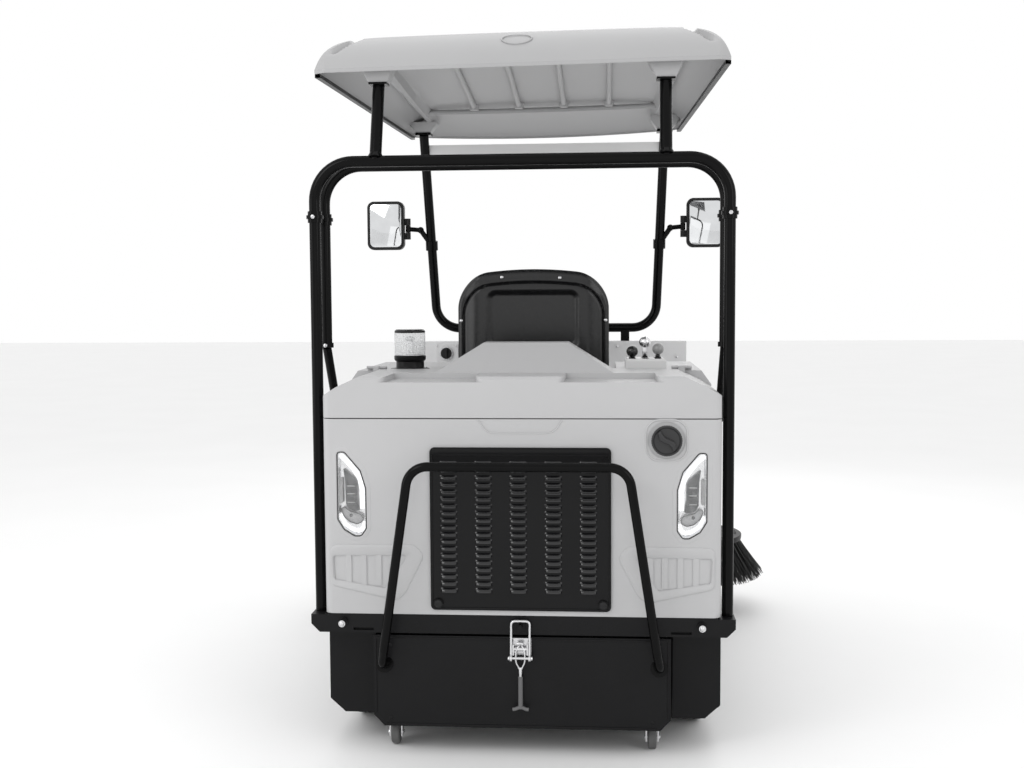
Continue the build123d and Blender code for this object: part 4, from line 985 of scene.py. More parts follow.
def build_fin_vents():
    """The raised frames and the slanted blades of both fin vents, and the bowl's rim under the seam."""
    for side, word in SIDES:
        made = Form()
        outer = spread_loop(soft_corners(VENT_OUTER, 0.022), 96)
        inner = spread_loop(soft_corners(VENT_INNER, 0.010), 96)
        rings = []
        for share, height in ((0.0, -0.0004), (0.03, 0.0018), (0.12, 0.0034), (0.3, 0.0040), (0.85, 0.0026), (1.0, 0.0008), (1.0, -0.004)):
            ring = []
            for (ox, oz), (ix, iz) in zip(outer, inner):
                ring.append((-side * (ox + (ix - ox) * share), REAR_Y - height, oz + (iz - oz) * share))
            rings.append(ring)
        made.skin(rings + [rings[0]], caps=False)
        for near, far in zip(VENT_POSTS, VENT_POSTS[1:]):
            low = 0.482 + 0.020 * (near - 0.385) / 0.146
            rows = []
            for z in (low, 0.573):
                rows.append([Vector((side * (near - 0.004), REAR_Y + 0.0085, z)), Vector((side * (far + 0.004), REAR_Y - 0.0002, z))])
            made.take(sheet_skin(rows, 0.0018, BACK))
        last = VENT_POSTS[-1]
        made.take(sheet_skin([[Vector((side * (last - 0.003), REAR_Y + 0.0085, 0.505)), Vector((side * 0.338, REAR_Y + 0.001, 0.530))],
                              [Vector((side * (last - 0.003), REAR_Y + 0.0085, 0.573)), Vector((side * 0.320, REAR_Y + 0.001, 0.573))]], 0.0018, BACK))
        made.piece(f"fin_vent_{word}", "root", "grey_shell")
    bowl = Form()
    edge = [(-0.1165, 0.9595), (-0.100, 0.935), (-0.090, 0.9265), (-0.070, 0.9225), (0.070, 0.9225), (0.090, 0.9265), (0.102, 0.935), (0.1185, 0.9595)]
    bowl.tube([(x, REAR_Y + 0.0004, z) for x, z in edge], 0.0019, 10)
    bowl.piece("seam_bowl_rim", "root", "grey_shell")


def lamp_outline(side, inset=0.0):
    """Outline of a tail lamp in metres on the rear face."""
    corners = ((0.518, 0.868), (0.497, 0.868), (0.452, 0.815), (0.437, 0.765), (0.437, 0.650), (0.452, 0.629),
               (0.470, 0.629), (0.500, 0.647), (0.518, 0.676))
    points = soft_corners([(side * x, z) for x, z in corners], 0.012)
    return shrunk(points, inset)


def along_line(points, count):
    """Points spread evenly along a line of points."""
    points = [Vector(point) for point in points]
    lengths = [0.0]
    for before, after in zip(points, points[1:]):
        lengths.append(lengths[-1] + (after - before).length)
    made = []
    for k in range(count):
        want = lengths[-1] * k / (count - 1)
        index = max(i for i in range(len(points) - 1) if lengths[i] <= want + 1e-9)
        share = (want - lengths[index]) / (lengths[index + 1] - lengths[index])
        made.append(points[index].lerp(points[index + 1], share))
    return made


def build_tail_lamps(sizes):
    """Each tail lamp: gasket, bright tray, blocks of light, dark core, grey strip, turn lamp and clear cover."""
    for side, word in SIDES:
        outline = lamp_outline(side, 0.0006)
        gasket = Form()
        band(gasket, lamp_outline(side), ((-0.0014, -0.001), (-0.0012, 0.0010), (0.0016, 0.0014), (0.0020, -0.004)))
        gasket.piece(f"tail_lamp_gasket_{word}", "root", "lamp_lens", "dark_plastic", ("lamps",))
        surround = Form()
        band(surround, lamp_outline(side), ((-0.0145, -0.0006), (-0.0130, 0.0006), (-0.0040, 0.0016), (-0.0018, 0.0004)))
        surround.piece(f"tail_lamp_surround_{word}", "root", "grey_shell")

        tray = Form()
        tray.plate(outline if side < 0 else outline[::-1], rear_frame(REAR_Y + 0.026), 0.006)
        rings = []
        for height, inset in ((-0.020, 0.0), (-0.002, 0.0), (-0.002, 0.0024), (-0.020, 0.006)):
            rings.append([(x, REAR_Y - height, z) for x, z in shrunk(outline, inset)])
        tray.skin(rings, caps=False)
        tray.piece(f"tail_lamp_tray_{word}", "root", "lamp_lens", "lamp_tray", ("lamps",))

        beads = Form()
        inner_edge = ((0.506, 0.855), (0.492, 0.842), (0.473, 0.820), (0.457, 0.796), (0.4495, 0.768), (0.4490, 0.714))
        lower_edge = ((0.4440, 0.662), (0.4500, 0.646), (0.4630, 0.6425), (0.4820, 0.650), (0.4980, 0.663), (0.5095, 0.684))
        for edge, count, size in ((inner_edge, 11, 1.0), (lower_edge, 9, 0.85)):
            line = along_line([(side * x, 0, z) for x, z in edge], count)
            for index, spot in enumerate(line):
                ahead = line[min(index + 1, count - 1)] - line[max(index - 1, 0)]
                place = facing((spot.x, REAR_Y + 0.0200, spot.z), BACK, ahead)
                block = rounded_outline(sizes.bead_radius * 1.5 * size, sizes.bead_radius * 1.9 * size, 0.0015, 3)
                beads.plate(block, place, 0.014, 0.0014)
        beads.piece(f"tail_lamp_beads_{word}", "root", "lamp_lens", "lamp_bead", ("lamps",))

        core = Form()
        shape = [(0.503, 0.823), (0.484, 0.806), (0.469, 0.793), (0.4625, 0.779), (0.4620, 0.738), (0.4560, 0.701)]
        shape += [(0.4720, 0.699), (0.4880, 0.706), (0.4960, 0.720), (0.4975, 0.786)]
        shape = soft_corners([(side * x, z) for x, z in shape], 0.003, 3)
        core.plate(shape if side < 0 else shape[::-1], rear_frame(REAR_Y + 0.0215), 0.016, 0.0025)
        core.piece(f"tail_lamp_core_{word}", "root", "lamp_lens", "lamp_core", ("lamps",))
        strip = Form()
        low_x, high_x = sorted((side * 0.504, side * 0.5195))
        strip.block((low_x, REAR_Y + 0.0055, 0.722), (high_x, REAR_Y + 0.012, 0.793), 0.002)
        for z in (0.771, 0.749, 0.724):
            low_x, high_x = sorted((side * 0.470, side * 0.491))
            strip.block((low_x, REAR_Y + 0.0046, z - 0.0016), (high_x, REAR_Y + 0.0066, z + 0.0016), 0.0006)
        strip.piece(f"tail_lamp_strip_{word}", "root", "lamp_lens", "grey_knob", ("lamps",))

        drop = ((0.445, 0.680), (0.454, 0.692), (0.484, 0.700), (0.500, 0.713), (0.511, 0.705), (0.501, 0.682), (0.484, 0.667), (0.463, 0.661), (0.449, 0.668))
        drop = soft_corners([(side * x, z) for x, z in drop], 0.012, 4)
        pocket = Form()
        pocket.plate(shrunk(drop, 0.0014) if side < 0 else shrunk(drop, 0.0014)[::-1], rear_frame(REAR_Y + 0.0205), 0.012, 0.001)
        pocket.piece(f"turn_lamp_{word}", "root", "lamp_lens", "turn_lamp_lens", ("lamps",))
        dark = Form()
        band(dark, drop, ((0.0, -0.020), (0.0, -0.0045), (0.0018, -0.0045), (0.0022, -0.012)))
        dark.dome(facing((side * 0.4815, REAR_Y + 0.0085, 0.6865), BACK), 0.0050, 0.004, 18)
        dark.piece(f"turn_lamp_rim_{word}", "root", "lamp_lens", "lamp_core", ("lamps",))

        cover = Form()
        cover.plate(outline if side < 0 else outline[::-1], rear_frame(REAR_Y - 0.0006), 0.0018, 0.0008)
        cover.piece(f"tail_lamp_cover_{word}", "root", "lamp_lens", None, ("lamps",))


def build_head_lamps():
    """Each head lamp: bright ring, bowl, bulb and fluted cover."""
    for side, word in SIDES:
        low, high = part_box("lamps")
        spot = facing((side * 0.360, high.y - 0.022, 0.560), (0, 1, 0))
        ring = Form()
        ring.lathe([(0.062, 0.0), (0.062, 0.016), (0.059, 0.0205), (0.054, 0.0205), (0.052, 0.017)], spot, 56, caps=False)
        ring.lathe([(0.052, 0.017), (0.046, 0.008), (0.030, 0.003), (0.010, 0.0015), (0.0008, 0.0014)], spot, 56)
        ring.dome(spot @ Matrix.Translation((0, 0, 0.002)), 0.008, 0.009, 18)
        ring.piece(f"head_lamp_bowl_{word}", "root", "lamp_lens", "lamp_tray", ("lamps",))
        cover = Form()
        cover.lathe([(0.0538, 0.0165), (0.0538, 0.0185), (0.044, 0.0202), (0.022, 0.0212), (0.0006, 0.0215)], spot, 56)
        for k in range(-5, 6):
            half = math.sqrt(max(0.0, 0.0505 ** 2 - (k * 0.009) ** 2))
            if half > 0.008:
                line = [spot @ Vector((k * 0.009, y, 0.0205)) for y in (-half, 0, half)]
                cover.tube(line, 0.0014, 8)
        cover.piece(f"head_lamp_cover_{word}", "root", "lamp_lens", None, ("lamps",))


# ---------------------------------------------------------------- beacon and small details
def build_beacon():
    """The beacon: flange, black base, neck ring, ribbed clear lens, dark rim and reflector."""
    low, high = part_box("beacon")
    spot = Matrix.Translation(((low.x + high.x) / 2, (low.y + high.y) / 2, low.z))
    base = Form()
    base.lathe([(0.0612, 0.0), (0.0612, 0.0032), (0.0595, 0.0046), (0.0520, 0.0054), (0.0452, 0.0066), (0.0440, 0.0090), (0.0436, 0.0265),
                (0.0470, 0.0290), (0.0495, 0.0330), (0.0500, 0.0430), (0.0480, 0.0452), (0.010, 0.0452)], spot, 64)
    for k in range(3):
        turn = math.tau * (k + 0.25) / 3
        base.dome(spot @ Matrix.Translation((0.0552 * math.cos(turn), 0.0552 * math.sin(turn), 0.0048)), 0.0032, 0.002, 12)
    base.piece("beacon_base", "root", "black_panel", replaces=("beacon",))
    lens = Form()
    rows = []
    steps = 144
    profile = ((0.0455, 0.0452), (0.0478, 0.0460), (0.0484, 0.0500), (0.0474, 0.0520), (0.0474, 0.1130), (0.0462, 0.1200), (0.0410, 0.1245), (0.022, 0.1268), (0.0008, 0.1275))
    for radius, height in profile:
        row = []
        for k in range(steps):
            turn = math.tau * k / steps
            flute = 0.0009 * math.sin(36 * turn) if 0.051 < height < 0.118 else 0.0
            row.append(spot @ Vector(((radius + flute) * math.cos(turn), (radius + flute) * math.sin(turn), height)))
        rows.append(row)
    lens.skin(rows)
    lens.piece("beacon_lens_cap", "root", "beacon_lens", "ribbed_lens", ("beacon",))
    rim = Form()
    rim.lathe([(0.0462, 0.1160), (0.0482, 0.1170), (0.0476, 0.1225), (0.0430, 0.1262), (0.0405, 0.1250), (0.0450, 0.1200)], spot, 72, caps=False)
    rim.piece("beacon_rim", "root", "black_panel", "dark_plastic", ("beacon",))
    core = Form()
    core.lathe([(0.030, 0.0445), (0.030, 0.050), (0.012, 0.054), (0.010, 0.090), (0.016, 0.096), (0.016, 0.101), (0.0008, 0.105)], spot, 32)
    core.piece("beacon_light_core", "root", "beacon_lens", "lamp_tray", ("beacon",))


def build_mirror_glass():
    """The glass and its bezel in both mirror heads."""
    for side, word in SIDES:
        low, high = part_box(f"mirror_{word}")
        half_height = (high.z - low.z) / 2
        outer = high.x if side > 0 else -low.x
        half_width = (outer - 0.553) / 2
        centre = (side * (outer - half_width), (low.z + high.z) / 2)
        glass = Form()
        outline = rounded_outline(half_width - 0.011, half_height - 0.011, 0.018, 8, centre)
        glass.plate(outline, rear_frame(low.y + 0.0008), 0.0022, 0.0008)
        glass.piece(f"mirror_glass_{word}", f"mirror_head_{word}", "mirror_housing", "mirror_glass")
        bezel = Form()
        rings = []
        for inset, out in ((0.0062, 0.0), (0.0068, 0.0034), (0.0098, 0.0034), (0.0112, 0.0)):
            ring = rounded_outline(half_width - inset, half_height - inset, 0.026 - inset, 8, centre)
            rings.append([(x, low.y + 0.0006 - out, z) for x, z in ring])
        bezel.skin(rings + [rings[0]], caps=False)
        bezel.piece(f"mirror_bezel_{word}", f"mirror_head_{word}", "mirror_housing")


def build_fasteners():
    """Domed bolts, hexagon heads, washers and screws that hold the machine together, and the weld beads at the roof
    stays.
    """
    bright = Form()
    beam_low, beam_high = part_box("rear_beam")
    for side, word in SIDES:
        for x in (0.506, 0.300):
            spot = facing((side * x, beam_low.y - 0.0001, 0.3825), BACK)
            if x > 0.4:
                bright.lathe([(0.0096, 0.0), (0.0096, 0.0014), (0.0070, 0.0016)], spot, 24)
                bright.dome(spot @ Matrix.Translation((0, 0, 0.0012)), 0.0074, 0.0048, 20)
        for y in (-0.881, -0.757):
            outside = facing((side * 0.6015, y, 1.530), (side, 0, 0))
            bright.hexagon(outside, 0.0065, 0.0032)
            bright.hexagon(facing((side * 0.581, y - 0.0235, 1.530), BACK), 0.0062, 0.0040)
        bright.hexagon(facing((side * 0.5765, -0.627, 0.9175), (side, 0, 0)), 0.0085, 0.005)
        bright.dome(facing((side * 0.581, -0.7785, 1.163), BACK), 0.006, 0.003)
    cowl_low, cowl_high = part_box("front_cowl")
    for side, word in SIDES:
        for x, z in ((0.285, 1.102), (0.285, 1.018), (0.520, 1.060), (0.520, 0.62)):
            bright.dome(facing((side * x, cowl_low.y - 0.0001, z), BACK), 0.0055, 0.0028)
        for z in (0.47, 0.78, 1.05):
            bright.dome(facing((side * 0.520, cowl_high.y, z), (0, 1, 0)), 0.0065, 0.0032)
    for x, y in ((0.3055, -0.4), (0.3055, -0.5), (0.4205, -0.4), (0.4205, -0.5)):
        bright.dome(Matrix.Translation((x, y, 1.1015)), 0.0042, 0.0022)
    for side, word in SIDES:
        for y in (-0.16, -0.30, -0.47):
            bright.dome(Matrix.Translation((side * 0.500, y, 1.0749)), 0.0058, 0.0026)
    bright.piece("bright_fasteners", "root", "zinc")

    flares = Form()
    for side, word in SIDES:
        foot = facing((side * 0.4062, -0.8765, 1.6965), (0, 0.28, 0.96))
        flares.lathe([(0.0235, -0.004), (0.0215, 0.002), (0.0185, 0.007), (0.0172, 0.011)], foot, 32)
        knee = facing((side * 0.388, -0.9362, 0.262), BACK)
        del knee
    flares.piece("stay_weld_beads", "root", "gloss_black_tube")


def build_hopper_details():
    """Fold lines, stiffening ribs and bolts of the hopper face."""
    low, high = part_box("hopper_bin")
    face = low.y
    plates = Form()
    for side, word in SIDES:
        plates.block((side * 0.4135 - 0.0025, face - 0.0022, low.z + 0.036), (side * 0.4135 + 0.0025, face + 0.0004, high.z - 0.006), 0.001)
    plates.block((-0.385, face - 0.0022, low.z + 0.0045), (0.385, face + 0.0004, low.z + 0.0095), 0.001)
    plates.block((-0.412, face - 0.0022, high.z - 0.009), (-0.040, face + 0.0004, high.z - 0.004), 0.001)
    plates.block((0.040, face - 0.0022, high.z - 0.009), (0.412, face + 0.0004, high.z - 0.004), 0.001)
    plates.piece("hopper_face_folds", "hopper", "black_steel")
    heads = Form()
    for side, word in SIDES:
        for x, z in ((0.024, 0.303), (0.024, 0.337)):
            heads.dome(facing((side * x, face - 0.0039, z), BACK), 0.0036, 0.0022, 12)
        for x, z in ((0.372, 0.106), (0.372, 0.318)):
            heads.dome(facing((side * x, face, z), BACK), 0.0062, 0.0028)
    heads.piece("hopper_face_bolts", "hopper", "black_steel")


def build_lever_boots():
    """A pleated boot, a flat steel arm and a clevis on each lever."""
    levers = (("lever_brush", "brush_lever", 0.322, 32.0, 0.044), ("lever_damper", "damper_lever", 0.362, 2.0, 0.066),
              ("lever_side", "side_brush_lever", 0.402, 30.0, 0.052))
    for body, node, x, lean, length in levers:
        angle = math.radians(lean)
        along = Vector((0, -math.sin(angle), math.cos(angle)))
        pivot = Vector((x, -0.450, 1.092))
        collar = Form()
        spot = facing(pivot + along * 0.0175, along, (1, 0, 0))
        collar.lathe([(0.0098, 0.0), (0.0098, 0.0015), (0.0075, 0.0032), (0.0088, 0.0048), (0.0066, 0.0066), (0.0078, 0.0082), (0.0056, 0.0105)], spot, 28)
        collar.piece(f"{node}_boot", body, "black_knob", "flap_rubber")
        arm = Form()
        place = facing(pivot + along * 0.010, along, (0, 1, 0))
        reach = length - 0.024
        arm.block((-0.0075, -0.0052, 0.012), (0.0075, 0.0052, reach), 0.0016, matrix=place)
        arm.lathe([(0.0072, reach - 0.002), (0.0085, reach), (0.0085, reach + 0.004), (0.0060, reach + 0.0065)], place, 28)
        arm.piece(f"{node}_arm", body, "black_knob", "zinc")


def bristle_tufts(form, tufts, rng, sizes, per_tuft, spread, curl, sides=4, cuts=3):
    """Bundles of bristles: each tuft has a root, a direction, a length and a guide for its lean."""
    for root, direction, length, lean in tufts:
        direction = Vector(direction).normalized()
        across = direction.orthogonal().normalized()
        over = direction.cross(across)
        for k in range(per_tuft):
            turn = rng.uniform(0, math.tau)
            away = math.sqrt(rng.random()) * spread
            start = Vector(root) + (across * math.cos(turn) + over * math.sin(turn)) * away * 0.35
            splay = (across * math.cos(turn) + over * math.sin(turn)) * away
            reach = length * rng.uniform(0.94, 1.0)
            sway = Vector(lean) * curl * rng.uniform(0.7, 1.3)
            points = []
            for cut in range(cuts + 1):
                share = cut / cuts
                points.append(start + direction * reach * share + (splay * 1.6 + sway) * share ** 1.7)
            form.tube(points, sizes.bristle_radius, sides, 0.8)


def build_side_brushes(sizes):
    """Both side brushes: moulded disc with ribs, and three rings of bristle tufts."""
    for side, word in SIDES:
        rng = random.Random(11 + side)
        node = f"side_brush_{word}"
        low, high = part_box(node)
        tilt = math.radians(4.0)
        up = Vector((0, -math.sin(tilt), math.cos(tilt)))
        hub = Vector((side * 0.672, 0.792, 0.300))
        spot = Matrix.Translation(hub) @ Matrix.Rotation(tilt, 4, "X")
        disc = Form()
        disc.lathe([(0.013, -0.010), (0.020, -0.012), (0.030, -0.010), (0.055, -0.0115), (0.122, -0.0115), (0.130, -0.008), (0.1315, 0.000),
                    (0.1315, 0.0115), (0.129, 0.0135), (0.112, 0.0135), (0.108, 0.0105), (0.060, 0.0105), (0.055, 0.0135), (0.013, 0.0135), (0.0122, 0.012)], spot, 96, caps=False)
        disc.lathe([(0.0122, 0.012), (0.0122, -0.009), (0.013, -0.010)], spot, 96, caps=False)
        for k in range(12):
            turn = math.tau * k / 12
            place = spot @ Matrix.Rotation(turn, 4, "Z")
            disc.block((0.058, -0.0018, 0.0095), (0.110, 0.0018, 0.0130), 0.0006, matrix=place)
        disc.piece(f"side_brush_disc_{word}", f"side_broom_{word}", "bristle", "dark_plastic", (node,))
        hairs = Form()
        tufts = []
        for ring, (radius, count, flare, length) in enumerate(((0.118, 40, 0.66, 0.176), (0.100, 34, 0.56, 0.172), (0.082, 28, 0.44, 0.166))):
            for k in range(count):
                turn = math.tau * (k + 0.5 * (ring % 2)) / count
                out = Vector((math.cos(turn), math.sin(turn), 0))
                around = Vector((-math.sin(turn), math.cos(turn), 0)) * side
                root = spot @ (out * radius + Vector((0, 0, -0.009)))
                direction = spot.to_3x3() @ (out * flare + Vector((0, 0, -1)))
                tufts.append((root, direction, length, spot.to_3x3() @ (around - out * 0.25)))
        bristle_tufts(hairs, tufts, rng, sizes, 16, 0.0095, 0.022)
        floor_plane = hub - up * 0.1645
        for vert in hairs.bm.verts:
            below = (vert.co - floor_plane).dot(up)
            if below < 0:
                vert.co -= up * below
            out = vert.co - hub
            flat = out - up * out.dot(up)
            if flat.length > 0.2285:
                vert.co -= flat.normalized() * (flat.length - 0.2285)
            for i in range(3):
                vert.co[i] = min(max(vert.co[i], low[i]), high[i])
        hairs.piece(f"side_brush_bristles_{word}", f"side_broom_{word}", "bristle", None, (node,), smooth=False)


def build_main_brush(sizes):
    """The main brush: a core tube, end rings and eight chevron rows of bristle tufts."""
    rng = random.Random(5)
    low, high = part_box("main_brush")
    middle = (low + high) / 2
    radius = (high.z - low.z) / 2
    across = Matrix.Translation(middle) @ Matrix.Rotation(math.pi / 2, 4, "Y")
    core = Form()
    half = high.x
    core.lathe([(0.0152, -half), (0.058, -half), (0.058, -half + 0.008), (0.045, -half + 0.008), (0.045, half - 0.008), (0.058, half - 0.008),
                (0.058, half), (0.0152, half), (0.0152, -half)], across, 40, caps=False)
    core.piece("main_brush_core", "broom", "bristle", "dark_plastic", ("main_brush",))
    hairs = Form()
    tufts = []
    for row in range(8):
        for k in range(76):
            share = k / 75
            x = (-half + 0.014) + (2 * half - 0.028) * share
            turn = math.tau * row / 8 + 0.95 * abs(2 * share - 1)
            out = Vector((0, math.cos(turn), math.sin(turn)))
            lean = Vector((1 if share > 0.5 else -1, 0, 0)) + Vector((0, -math.sin(turn), math.cos(turn)))
            tufts.append((Vector((x, middle.y, middle.z)) + out * 0.044, out, radius - 0.0455, lean))
    bristle_tufts(hairs, tufts, rng, sizes, 5, 0.0045, 0.004, 4, 2)
    for vert in hairs.bm.verts:
        out = Vector((0, vert.co.y - middle.y, vert.co.z - middle.z))
        if out.length > radius - 0.0003:
            vert.co -= out.normalized() * (out.length - radius + 0.0003)
        vert.co.x = min(max(vert.co.x, -half), half)
    hairs.piece("main_brush_bristles", "broom", "bristle", None, ("main_brush",), smooth=False)


def build_wheel(name, node, body, tread, hub_radius, bore, lugs):
    """A solid tyre with cut tread on a ribbed hub."""
    low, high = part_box(node)
    middle = (low + high) / 2
    radius = (high.z - low.z) / 2
    half = (high.x - low.x) / 2
    across = Matrix.Translation(middle) @ Matrix.Rotation(math.pi / 2, 4, "Y")
    steps = 240
    shoulder = 0.014
    profile = [(hub_radius, -half + 0.004), (hub_radius + 0.006, -half + 0.0005), (radius - 0.030, -half), (radius - 0.026, -half + 0.0012), (radius - shoulder, -half + 0.001)]
    profile += [(radius - 0.0042, -half + 0.0042)]
    count = 14
    for k in range(count + 1):
        profile.append((radius, (-half + shoulder * 0.8) + (2 * half - shoulder * 1.6) * k / count))
    profile += [(r, -h) for r, h in reversed(profile[:6])]
    rings = []
    for r, h in profile:
        ring = []
        for k in range(steps):
            turn = math.tau * k / steps
            here = r
            if r > radius - 0.005:
                wave = (lugs * k / steps + 2.2 * abs(h) / half * 0.5) % 1.0
                cut = soft_step(abs(wave - 0.5), 0.10, 0.14)
                band = soft_step(abs(abs(h) - half * 0.34), 0.0022, 0.0042)
                here -= tread * (1 - cut * band) if abs(h) > 0.006 else 0.0
            ring.append(across @ Vector((here * math.cos(turn), here * math.sin(turn), h)))
        rings.append(ring)
    tyre = Form()
    tyre.skin(rings + [rings[0]], caps=False)
    tyre.piece(f"{name}_tyre", body, "tyre_rubber", None, (node,))
    hub = Form()
    dish = half * 0.42
    for sign in (-1, 1):
        section = [(hub_radius + 0.001, half - 0.004), (hub_radius - 0.004, half - 0.001), (hub_radius - 0.010, half - 0.003), (hub_radius - 0.016, half - dish)]
        section += [(hub_radius * 0.50, half - dish - 0.004), (hub_radius * 0.44, half - dish + 0.010), (hub_radius * 0.42, half - 0.010), (hub_radius * 0.36, half - 0.006), (bore + 0.0002, half - 0.006)]
        hub.lathe([(r, sign * h) for r, h in section], across, 72, caps=False)
        for k in range(6):
            spoke = across @ Matrix.Rotation(math.tau * k / 6, 4, "Z")
            z_pair = sorted((sign * (half - dish - 0.004), sign * (half - 0.012)))
            hub.block((hub_radius * 0.40, -0.005, z_pair[0]), (hub_radius - 0.012, 0.005, z_pair[1]), 0.0015, matrix=spoke)
    hub.lathe([(bore + 0.0002, -half + 0.006), (bore + 0.0002, half - 0.006)], across, 72, caps=False)
    hub.piece(f"{name}_hub", body, "wheel_rim_plastic", None, (node,))
    nuts = Form()
    for sign in (-1, 1):
        for k in range(5):
            turn = math.tau * k / 5
            place = across @ Matrix.Translation((hub_radius * 0.28 * math.cos(turn), hub_radius * 0.28 * math.sin(turn), sign * (half - 0.0065)))
            if sign < 0:
                place = place @ Matrix.Rotation(math.pi, 4, "X")
            nuts.hexagon(place, 0.0065, 0.0045)
    nuts.piece(f"{name}_nuts", body, "wheel_rim_plastic", "zinc", (node,))


def build_casters():
    """Bearing race and axle bolt heads of both casters."""
    for side, word in SIDES:
        low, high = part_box(f"caster_fork_{word}")
        middle_x = (low.x + high.x) / 2
        details = Form()
        details.lathe([(0.0195, 0.0), (0.0208, 0.002), (0.0208, 0.005), (0.0195, 0.007)], Matrix.Translation((middle_x, -0.860, 0.0725)), 32)
        for end in (-1, 1):
            details.hexagon(facing((middle_x + end * 0.0205, -0.845, 0.033), (end, 0, 0)), 0.0058, 0.0028)
        details.piece(f"caster_race_{word}", f"caster_{word}", "zinc")


def build_cockpit():
    """Dash display, switches, vents, floor mat and steering wheel cap."""
    low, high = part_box("front_cowl")
    face = low.y
    dash = Form()
    dash.block((-0.135, face - 0.0075, 1.030), (0.135, face + 0.001, 1.108), 0.004)
    dash.piece("dash_display_case", "root", "console_plastic", "dark_plastic")
    screen = Form()
    screen.block((-0.062, face - 0.0092, 1.040), (0.062, face - 0.0068, 1.098), 0.001)
    screen.piece("dash_display_glass", "root", "console_plastic", "lamp_core")
    keys = Form()
    for x in (-0.115, -0.086, 0.086, 0.115):
        for z in (1.052, 1.086):
            keys.block((x - 0.009, face - 0.0118, z - 0.011), (x + 0.009, face - 0.0066, z + 0.011), 0.0016)
    keys.piece("dash_rocker_switches", "root", "black_knob")
    plate = Form()
    plate.lathe([(0.0255, -0.0085), (0.0255, -0.0098), (0.0228, -0.0098), (0.0228, -0.0082)], rear_frame(face, -0.396, 1.076) @ Matrix.Scale(-1, 4, (0, 0, 1)), 36, caps=False)
    for x, z in ((-0.434, 1.106), (-0.356, 1.106), (-0.434, 1.042), (-0.356, 1.042)):
        plate.dome(facing((x, face - 0.008, z), BACK), 0.0036, 0.002, 12)
    plate.piece("key_plate_ring", "root", "zinc")
    ribs = Form()
    floor_low, floor_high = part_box("footwell")
    top = 0.500
    for side, word in SIDES:
        ribs.block((side * 0.300 - 0.215, -0.035, top), (side * 0.300 + 0.215, 0.375, top + 0.003), 0.0012)
        for k in range(27):
            x = side * 0.300 - 0.208 + 0.016 * k
            ribs.block((x - 0.003, -0.028, top + 0.0026), (x + 0.003, 0.368, top + 0.0056), 0.001)
    ribs.piece("floor_mats", "root", "flap_rubber")
    vents = Form()
    for side, word in SIDES:
        for k in range(7):
            z = 0.66 + 0.018 * k
            half = 0.10 + 0.004 * k
            front = high.y - max(0.0, z - 0.640) * 0.03 / 0.22 + 0.001
            vents.block((side * 0.18 - half * 0.8, front - 0.004, z), (side * 0.18 + half * 0.8, front + 0.0006, z + 0.008), 0.002)
    vents.piece("cowl_vent_bars", "root", "dark_plastic")
    for word, x in (("brake", -0.120), ("drive", 0.160)):
        node = "brake_pedal" if word == "brake" else "accelerator_pedal"
        node_low, node_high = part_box(node)
        del node_low, node_high, x
    cap = Form()
    lean = math.radians(30)
    axis = Vector((0, -math.sin(lean), math.cos(lean)))
    spot = facing(Vector((0, 0.330, 1.130)) + axis * 0.0138, axis, (0, 1, 0))
    cap.lathe([(0.0400, 0.0), (0.0400, 0.0030), (0.0370, 0.0062), (0.0200, 0.0082), (0.0006, 0.0088)], spot, 48)
    cap.piece("steering_wheel_cap", "steering", "grey_knob", "dark_plastic")


def build_filler_cap():
    """The filler cap with its ridges and wavy grip, and the raised frame of its pocket."""
    low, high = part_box("filler_cap")
    centre = ((low.x + high.x) / 2, (low.z + high.z) / 2)
    spot = rear_frame(REAR_Y, *centre)
    cap = Form()
    cap.lathe([(0.030, -0.006), (0.030, 0.0064), (0.0418, 0.0064), (0.0424, 0.0080), (0.0424, 0.0140), (0.0405, 0.0160),
               (0.0375, 0.0160), (0.0350, 0.0135), (0.0008, 0.0130)], spot, 72)
    for k in range(40):
        place = spot @ Matrix.Rotation(math.tau * k / 40, 4, "Z")
        cap.block((0.0412, -0.0014, 0.0075), (0.0430, 0.0014, 0.0145), 0.0005, matrix=place)
    sides = []
    for sign in (1, -1):
        line = []
        for k in range(25):
            share = sign * (1 - k / 12)
            wave = 0.0062 * math.sin(math.pi * share) + sign * (0.0085 - 0.0035 * share * share)
            line.append((0.0335 * share, wave))
        sides += line
    cap.plate(sides[::-1], spot @ Matrix.Rotation(math.radians(-52), 4, "Z") @ Matrix.Translation((0, 0, 0.0125)), 0.0150, 0.0040, 3)
    cap.piece("filler_cap_grip", "cap", "grey_knob", "cap_plastic", ("filler_cap",))
    ring = Form()
    rings = []
    for half, out in ((0.0600, -0.0006), (0.0585, 0.0022), (0.0560, 0.0024), (0.0530, -0.0006)):
        outline = rounded_outline(half, half, 0.034 + (half - 0.053), 10, centre)
        rings.append([(x, REAR_Y - out, z) for x, z in outline])
    ring.skin(rings + [rings[0]], caps=False)
    ring.piece("filler_pocket_frame", "root", "grey_shell")


